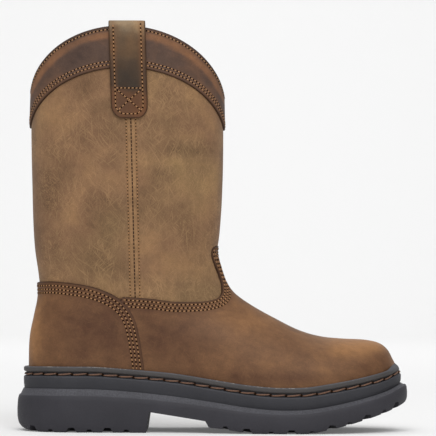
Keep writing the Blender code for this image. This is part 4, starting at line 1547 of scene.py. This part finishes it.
def plan_curve(reach, steps=PLAN_STEPS):
    """The last's plan moved outwards by reach, a number or a function of x: both sides, each from heel to toe."""
    x = HEEL_X + (TOE_X - HEEL_X) * cosine_steps(steps)
    depth = look_up(BACK, "z", "round_depth", feather_z(HEEL_X))
    half = plan_half(x) * rounding((x - HEEL_X) / depth, HEEL_ROUNDNESS)
    middle = look_up(PLAN, "x", "centre", x)
    loop = np.concatenate([np.stack([x, middle - half], 1), np.stack([x, middle + half], 1)[-2:0:-1]])
    run = unit(np.roll(loop, -1, axis=0) - np.roll(loop, 1, axis=0))
    reach = reach(loop[:, :1]) if callable(reach) else reach
    moved = loop + reach * np.stack([run[:, 1], -run[:, 0]], axis=1)
    return moved[:steps], np.concatenate([moved[steps - 1 :], moved[:1]])[::-1]


def sole_ring(reach):
    """Stations of an outline of the sole: x, outer y and inner y, from heel to toe."""
    lateral, medial = plan_curve(reach)
    low, high = lateral[:, 0].min(), lateral[:, 0].max()
    x = low + (high - low) * cosine_steps(SOLE_STEPS + 1)
    sides = []
    for curve in (lateral, medial):
        order = np.argsort(curve[:, 0])
        sides.append(np.interp(x, curve[order, 0], curve[order, 1]))
    ends = [0, -1]
    tips = (sides[0][ends] + sides[1][ends]) / 2
    for side in sides:
        side[ends] = tips
    return x, sides[0], sides[1]


def line(column, drop=0.0):
    return lambda x: look_up(SOLE_LINES, "x", column, x) - drop


def chamfer_z(x):
    share = ease(x, HEEL_X, TOE_X)
    return line("shelf")(x) - (CHAMFER_HEEL + share * (CHAMFER_TOE - CHAMFER_HEEL))


def between(top, bottom, share, drop=0.0):
    return lambda x: top(x) + share * (bottom(x) - top(x)) - drop


def stacked_rings(name, rings, material, is_ring_shaped=False):
    """A solid through outlines, each (reach, height by x, share of wear and painted light), capped or closed back
    onto the first.
    """
    points, faces, wear_and_light = [], [], []
    count = 2 * SOLE_STEPS
    for reach, height, share in rings:
        x, lateral, medial = sole_ring(reach)
        z = height(x) * np.ones_like(x)
        points += list(zip(x, lateral, z)) + list(zip(x, medial, z))[-2:0:-1]
        wear_and_light += [share] * count
    for ring in range(len(rings) if is_ring_shaped else len(rings) - 1):
        below = ((ring + 1) % len(rings)) * count
        for i in range(count):
            j = (i + 1) % count
            faces.append((ring * count + j, ring * count + i, below + i, below + j))
    if not is_ring_shaped:
        for start, turn in ((0, 1), ((len(rings) - 1) * count, -1)):
            for i in range(SOLE_STEPS):
                far, near = (count - i) % count, count - i - 1
                cap = [start + c for c in dict.fromkeys((i, i + 1, near, far))]
                faces.append(cap[::turn])
    return new_piece(name, points, faces, material, [("wear_and_light", wear_and_light)])


class BOOT_OT_sole(bpy.types.Operator):
    """Welt, midsole and lugged outsole"""

    bl_idname = "boot.sole"
    bl_label = "Build sole"

    def execute(self, context):
        colours = context.scene.boot_colours
        self.make_welt(rubber_finish("welt_rubber", srgb(69, 66, 65), colours.rubber_worn_and_lit))
        self.make_midsole(rubber_finish("midsole_rubber", srgb(46, 46, 50), colours.rubber_worn_and_lit))
        self.make_outsole(rubber_finish("outsole_rubber", colours.rubber, colours.rubber_worn_and_lit))
        self.sew_welt(context)
        return {"FINISHED"}

    def make_welt(self, finish):
        low = WELT_HEIGHT - 0.1
        inner = WELT_INNER_REACH - BEAD_TUCK
        step = inner + 0.9
        rings = [
            (self.pulled(inner), line("welt", low), 0.0),
            (self.pulled(inner), self.falling(BEAD_TUCK, inner), 0.0),
            (self.pulled(step), self.falling(0.35, step), 0.9),
        ]
        middle, radius = (WELT_INNER_REACH + WELT_REACH) / 2, (WELT_REACH - WELT_INNER_REACH) / 2
        for turn in BEAD_TURNS:
            is_upper = turn > 0
            drop = BEAD_CENTRE_DROP - radius * (1.0 if is_upper else BEAD_LOWER_STRETCH) * math.sin(turn)
            is_fleck_highlight = FLECK_HIGHLIGHT_TURNS[0] < turn < FLECK_HIGHLIGHT_TURNS[1]
            # Paler towards the bead's top round: scuffing and dust, with painted top light
            wear_and_light = FLECK_HIGHLIGHT_LEVEL if is_fleck_highlight else 0.9 * max(math.sin(turn), 0.0) ** 0.7
            reach = middle + radius * math.cos(turn if is_upper else 0.5 * turn)
            rings.append((self.pulled(reach), self.falling(drop, reach), wear_and_light))
        rings.append((self.pulled(WELT_REACH - 2.2), line("welt", low), 0.0))
        welt = stacked_rings("welt_bead", rings, finish, is_ring_shaped=True)
        for vertex, wear_and_light in zip(welt.data.vertices, welt.data.attributes["wear_and_light"].data):
            if vertex.co.x > FLECK_HIGHLIGHT_FRONT_X * MM:
                wear_and_light.value = min(wear_and_light.value, 1.0)
        hand_over(welt, "sole_rubber", "welt")

    def falling(self, drop, reach):
        """A height below the welt's line that falls away outwards round the toe."""
        fall = TOE_FALL * (reach - WELT_REACH + 1.35)
        return lambda x: line("welt")(x) - np.minimum(drop + fall * ease(x, *TOE_TIP_X), WELT_HEIGHT - 0.2)

    def pulled(self, reach):
        """A reach that draws in against the leather round the toe."""
        return lambda x: reach - (1.4 + TOE_PULL * (WELT_REACH - reach)) * ease(x, *TOE_TIP_X)

    def undercut(self, x):
        """Reach of the midsole's foot, which is cut back under the forefoot."""
        return WELT_REACH - 0.5 - FOREFOOT_CUT * ease(x, *FOREFOOT_X)

    def make_midsole(self, finish):
        inner = WELT_REACH - 1.9
        top, groove = WELT_HEIGHT, WELT_HEIGHT + STITCH_GROOVE
        rings = [
            (inner, line("welt", top), 0.0),
            (inner, line("welt", groove - 0.4), 0.0),
            (inner + 0.5, line("welt", groove), 0.1),
            # A paler lip under the stitch groove: scuffing, with a painted highlight on its edge
            (WELT_REACH - 0.6, line("welt", groove + 0.15), 0.5),
            (WELT_REACH - 0.15, line("welt", groove + 0.6), 0.5),
            (WELT_REACH, line("welt", groove + 1.4), 0.2),
            (WELT_REACH - 0.1, between(line("welt", groove + 1.4), line("shelf"), 0.5), 0.1),
            (WELT_REACH - 0.4, line("shelf", -1.5), 0.1),
            (self.undercut, line("shelf", -0.9), 0.0),
            (self.undercut, line("shelf", -0.1), 0.0),
        ]
        hand_over(stacked_rings("midsole_wall", rings, finish), "sole_rubber", "midsole")

    def make_outsole(self, finish):
        tread = line("tread")
        rings = [
            # The upward ledge of the shelf is paler: scuffing and dust, with painted top light
            (WELT_REACH - 0.7, line("shelf"), 0.5),
            (WELT_REACH + 0.1, line("shelf", 0.1), 0.9),
            (SOLE_REACH - 2.8, between(line("shelf"), chamfer_z, 0.86), 1.0),
            (SOLE_REACH - 1.7, between(line("shelf"), chamfer_z, 1.0), 0.9),
            (SOLE_REACH - 1.25, between(chamfer_z, tread, 0.01, 0.3), 0.1),
            (SOLE_REACH - 0.45, between(chamfer_z, tread, 0.16), 0.0),
            (SOLE_REACH, between(chamfer_z, tread, 0.5), 0.0),
            (SOLE_REACH - 0.1, between(chamfer_z, tread, 0.75), 0.0),
            (SOLE_REACH - 0.6, between(chamfer_z, tread, 0.88), 0.0),
            (SOLE_REACH - 1.4, between(chamfer_z, tread, 0.97), 0.1),
            (SOLE_REACH - 2.4, tread, 0.1),
        ]
        outsole = stacked_rings("lugged_outsole", rings, finish)
        for cutter in (self.arch_cutter(), self.notch_cutters()):
            cut = outsole.modifiers.new(cutter.name, "BOOLEAN")
            cut.operation = "DIFFERENCE"
            cut.solver = "EXACT"
            cut.object = cutter
            select_only(outsole)
            bpy.ops.object.modifier_apply(modifier=cut.name)
            bpy.data.objects.remove(cutter)
        for vertex, wear_and_light in zip(outsole.data.vertices, outsole.data.attributes["wear_and_light"].data):
            if vertex.co.z / MM < chamfer_z(vertex.co.x / MM) - TREAD_BELOW_SHELF:
                wear_and_light.value = 0.0
        select_only(outsole)
        bpy.ops.object.shade_smooth_by_angle(angle=math.radians(32))
        hand_over(outsole, "sole_rubber", "outsole")

    def arch_cutter(self):
        """The arch's outline drawn out across the sole."""
        bpy.ops.object.select_all(action="DESELECT")
        bpy.ops.mesh.primitive_circle_add(vertices=len(ARCH), fill_type="NGON")
        cutter = bpy.context.object
        for vertex, (x, z) in zip(cutter.data.vertices, ARCH):
            vertex.co = (x * MM, -CUTTER_REACH * MM, z * MM)
        set_mode("EDIT")
        bpy.ops.mesh.select_all(action="SELECT")
        bpy.ops.mesh.extrude_region_move(TRANSFORM_OT_translate={"value": (0, 2 * CUTTER_REACH * MM, 0)})
        self.face_outwards()
        return cutter

    def face_outwards(self):
        bpy.ops.mesh.select_all(action="SELECT")
        bpy.ops.mesh.normals_make_consistent(inside=False)
        set_mode("OBJECT")

    def wedge(self, size):
        """One notch cutter along X from the origin: a bar below the tread with a tapered top above it."""
        bpy.ops.object.select_all(action="DESELECT")
        bpy.ops.mesh.primitive_cube_add(size=1)
        cutter = bpy.context.object
        cutter.scale = (size["length"] * MM, size["width"] * MM, CUTTER_DROP * MM)
        cutter.location = (size["length"] / 2 * MM, 0, -CUTTER_DROP / 2 * MM)
        bpy.ops.object.transform_apply(location=True, scale=True)
        set_mode("EDIT")
        select_where("VERT", lambda vertex: vertex.co.z > -0.1 * MM)
        bpy.ops.mesh.extrude_region_move(TRANSFORM_OT_translate={"value": (0, 0, size["depth"] * MM)})
        bpy.ops.transform.resize(value=(1, size["top"] / size["width"], 1), center_override=(0, 0, 0))
        self.face_outwards()
        return cutter

    def notch_cutters(self):
        """Wedges that cut the lugs, along both edges of the tread and across its middle."""
        patterns = {name: self.wedge(size) for name, size in NOTCH_SIZES.items()}
        arch_x, arch_z = np.array(ARCH).T
        copies = []

        def add_wedge(x, y, inward, name):
            tread = max(float(line("tread")(x)), float(np.interp(x, arch_x, arch_z, left=0, right=0)))
            copy = patterns[name].copy()
            copy.data = patterns[name].data.copy()
            sunk = tread - TOE_NOTCH_SINK * float(ease(x, *TOE_NOTCH_X))
            copy.location = (x * MM, y * MM, sunk * MM)
            copy.rotation_euler = (0, 0, math.atan2(inward[1], inward[0]))
            bpy.context.scene.collection.objects.link(copy)
            copies.append(copy)

        for curve, turn in zip(plan_curve(SOLE_REACH + NOTCH_START), (1, -1)):
            run = unit(np.gradient(curve, axis=0))
            inward = turn * np.stack([-run[:, 1], run[:, 0]], axis=1)
            for x, name in sorted((x, name) for name in ("large", "small") for x in NOTCH_X[name]):
                i = int(np.argmin(np.abs(curve[:, 0] - x * (1 + NOTCH_START / TOE_X))))
                add_wedge(*curve[i], inward[i], name)
        for x in NOTCH_X["slot"]:
            start_y = float(look_up(PLAN, "x", "centre", x)) - NOTCH_SIZES["slot"]["length"] / 2
            add_wedge(x, start_y, (0.0, 1.0), "slot")
        for pattern in patterns.values():
            bpy.data.objects.remove(pattern)
        select_only(copies[0])
        for copy in copies:
            copy.select_set(True)
        bpy.ops.object.join()
        bpy.ops.object.transform_apply(location=True, rotation=True)
        copies[0].name = "notch_cutters"
        return copies[0]

    def sew_welt(self, context):
        """Long slanted stitches of cord in the groove under the welt."""
        sizes, colours = context.scene.boot_sizes, context.scene.boot_colours
        width, pitch = sizes.welt_thread / MM, sizes.welt_pitch / MM
        x, lateral, medial = sole_ring(WELT_REACH - CORD_INSET)
        height = line("welt", WELT_HEIGHT + 0.5 * STITCH_GROOVE - 0.1)(x)
        loop = np.concatenate([np.stack([x, lateral, height], 1), np.stack([x, medial, height], 1)[-2::-1]])
        run = np.gradient(loop, axis=0)
        normal = unit(np.stack([run[:, 1], -run[:, 0], np.zeros(len(run))], 1))
        middle, direction, normal = along_line(np.column_stack([loop, normal]), pitch)
        cord, pits = Copies(), Copies()
        cord.place(cord_shape(0.95 * pitch, width), middle, direction, normal)
        # Dark pits at the cord's ends, painted shade where it dives into the groove
        ends = middle + pitch / 2 * direction - 0.25 * width * normal
        pits.place(hole_shape(1.75 * width), ends, direction, normal)
        hand_over(pits.as_piece("welt_pits_painted_shade", hole_shade_finish()), "sole_rubber")
        finish = thread_finish("welt_thread", colours.welt_thread, 0.9)
        hand_over(cord.as_piece("welt_stitches", finish), "sole_rubber")


class BOOT_OT_footbed(bpy.types.Operator):
    """Cloth finish on the insole"""

    bl_idname = "boot.footbed"
    bl_label = "Finish footbed"

    def execute(self, context):
        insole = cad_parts["insole"]
        insole.data.materials.clear()
        insole.data.materials.append(cloth_finish("footbed_cloth", context.scene.boot_colours.footbed, 900.0))
        return {"FINISHED"}


# Stage, in metres and watts
FLOOR_SIZE = 14.0
FLOOR_PLACE = (0, -2.4, -0.00005)
BACKDROP_HEIGHT = 5.0
BACKDROP_BEND = 1.0
BACKDROP_GLOW = 0.11
WORLD_LIGHT = 0.5
# Lights: name, place, target, size, watts
SOFTBOXES = [
    ("key_softbox", (0.1, -2.0, 2.1), (0.0, 0.0, 0.1), 2.0, 55.0),
    ("top_softbox", (0.0, 0.0, 2.8), (0.0, 0.0, 0.1), 3.0, 14.0),
    ("backdrop_light", (0.0, 2.2, 3.2), (0.0, 4.6, 1.0), 2.4, 56.0),
]
# Camera: millimetres, pixels, metres, then degrees up from level and radians of roll
SENSOR_MM = 36.0
PHOTO_PIXELS = 436
FOCAL_PIXELS = 2743.4
CAMERA_PLACE = (0.0037, -2.2, 0.12)
CAMERA_TILT = 1.297
CAMERA_ROLL = 0.0042


class BOOT_OT_stage(bpy.types.Operator):
    """Pale floor, soft light and the camera"""

    bl_idname = "boot.stage"
    bl_label = "Set the stage"

    def execute(self, context):
        self.make_floor()
        self.make_lights()
        self.make_camera()
        return {"FINISHED"}

    def make_floor(self):
        """A floor that sweeps up into a backdrop."""
        bpy.ops.object.select_all(action="DESELECT")
        bpy.ops.mesh.primitive_plane_add(size=FLOOR_SIZE, location=FLOOR_PLACE)
        floor = bpy.context.object
        floor.name = "floor_sweep"
        bpy.ops.object.transform_apply(location=True)

        def is_back_edge(edge):
            ends = [floor.data.vertices[i].co for i in edge.vertices]
            return all(end.y > 0 and end.z < BACKDROP_BEND for end in ends)

        set_mode("EDIT")
        select_where("EDGE", is_back_edge)
        bpy.ops.mesh.extrude_region_move(TRANSFORM_OT_translate={"value": (0, 0, BACKDROP_HEIGHT)})
        select_where("EDGE", is_back_edge)
        bpy.ops.mesh.bevel(offset=BACKDROP_BEND, segments=24, affect="EDGES")
        set_mode("OBJECT")
        bpy.ops.object.shade_smooth()
        finish = Finish("paper_backdrop")
        finish.put(finish.shader, {"Emission Color": (1, 1, 1), "Emission Strength": BACKDROP_GLOW})
        floor.data.materials.append(finish.done((0.75, 0.75, 0.75), 0.95, 0.0))

    def make_lights(self):
        world = bpy.data.worlds.new("studio")
        world.use_nodes = True
        background = world.node_tree.nodes["Background"].inputs
        background["Color"].default_value = (1, 1, 1, 1)
        background["Strength"].default_value = WORLD_LIGHT
        bpy.context.scene.world = world
        for name, place, target, size, watts in SOFTBOXES:
            light = bpy.data.lights.new(name, "AREA")
            light.energy = watts
            light.size = size
            obj = bpy.data.objects.new(name, light)
            obj.location = place
            obj.rotation_euler = (Vector(target) - Vector(place)).to_track_quat("-Z", "Y").to_euler()
            bpy.context.scene.collection.objects.link(obj)

    def make_camera(self):
        camera = bpy.data.cameras.new("photo_camera")
        camera.sensor_width = SENSOR_MM
        camera.lens = SENSOR_MM * FOCAL_PIXELS / PHOTO_PIXELS
        obj = bpy.data.objects.new("photo_camera", camera)
        obj.location = CAMERA_PLACE
        obj.rotation_euler = Euler((math.radians(90 + CAMERA_TILT), 0, 0))
        obj.rotation_euler.rotate_axis("Z", CAMERA_ROLL)
        bpy.context.scene.collection.objects.link(obj)
        bpy.context.scene.camera = obj
        bpy.context.scene.view_settings.view_transform = "Standard"


class BOOT_PT_sidebar(bpy.types.Panel):
    """Builds the boot piece by piece"""

    bl_label = "Pull-on boot"
    bl_space_type = "VIEW_3D"
    bl_region_type = "UI"
    bl_category = "Boot"

    def draw(self, context):
        for group in (context.scene.boot_sizes, context.scene.boot_colours):
            for name in group.__annotations__:
                self.layout.prop(group, name)
        for operator in OPERATORS:
            self.layout.operator(operator.bl_idname)


OPERATORS = (
    BOOT_OT_upper,
    BOOT_OT_overlays,
    BOOT_OT_straps,
    BOOT_OT_sewing,
    BOOT_OT_sole,
    BOOT_OT_footbed,
    BOOT_OT_stage,
)
CLASSES = (BootSizes, BootColours, *OPERATORS, BOOT_PT_sidebar)


def register():
    for cls in CLASSES:
        bpy.utils.register_class(cls)
    bpy.types.Scene.boot_sizes = PointerProperty(type=BootSizes)
    bpy.types.Scene.boot_colours = PointerProperty(type=BootColours)


def unregister():
    del bpy.types.Scene.boot_colours
    del bpy.types.Scene.boot_sizes
    for cls in reversed(CLASSES):
        bpy.utils.unregister_class(cls)


def main():
    register()
    centre_plan()
    bpy.ops.boot.upper()
    bpy.ops.boot.overlays()
    bpy.ops.boot.straps()
    bpy.ops.boot.sewing()
    bpy.ops.boot.sole()
    bpy.ops.boot.footbed()
    bpy.ops.boot.stage()


if __name__ == "__main__":
    main()
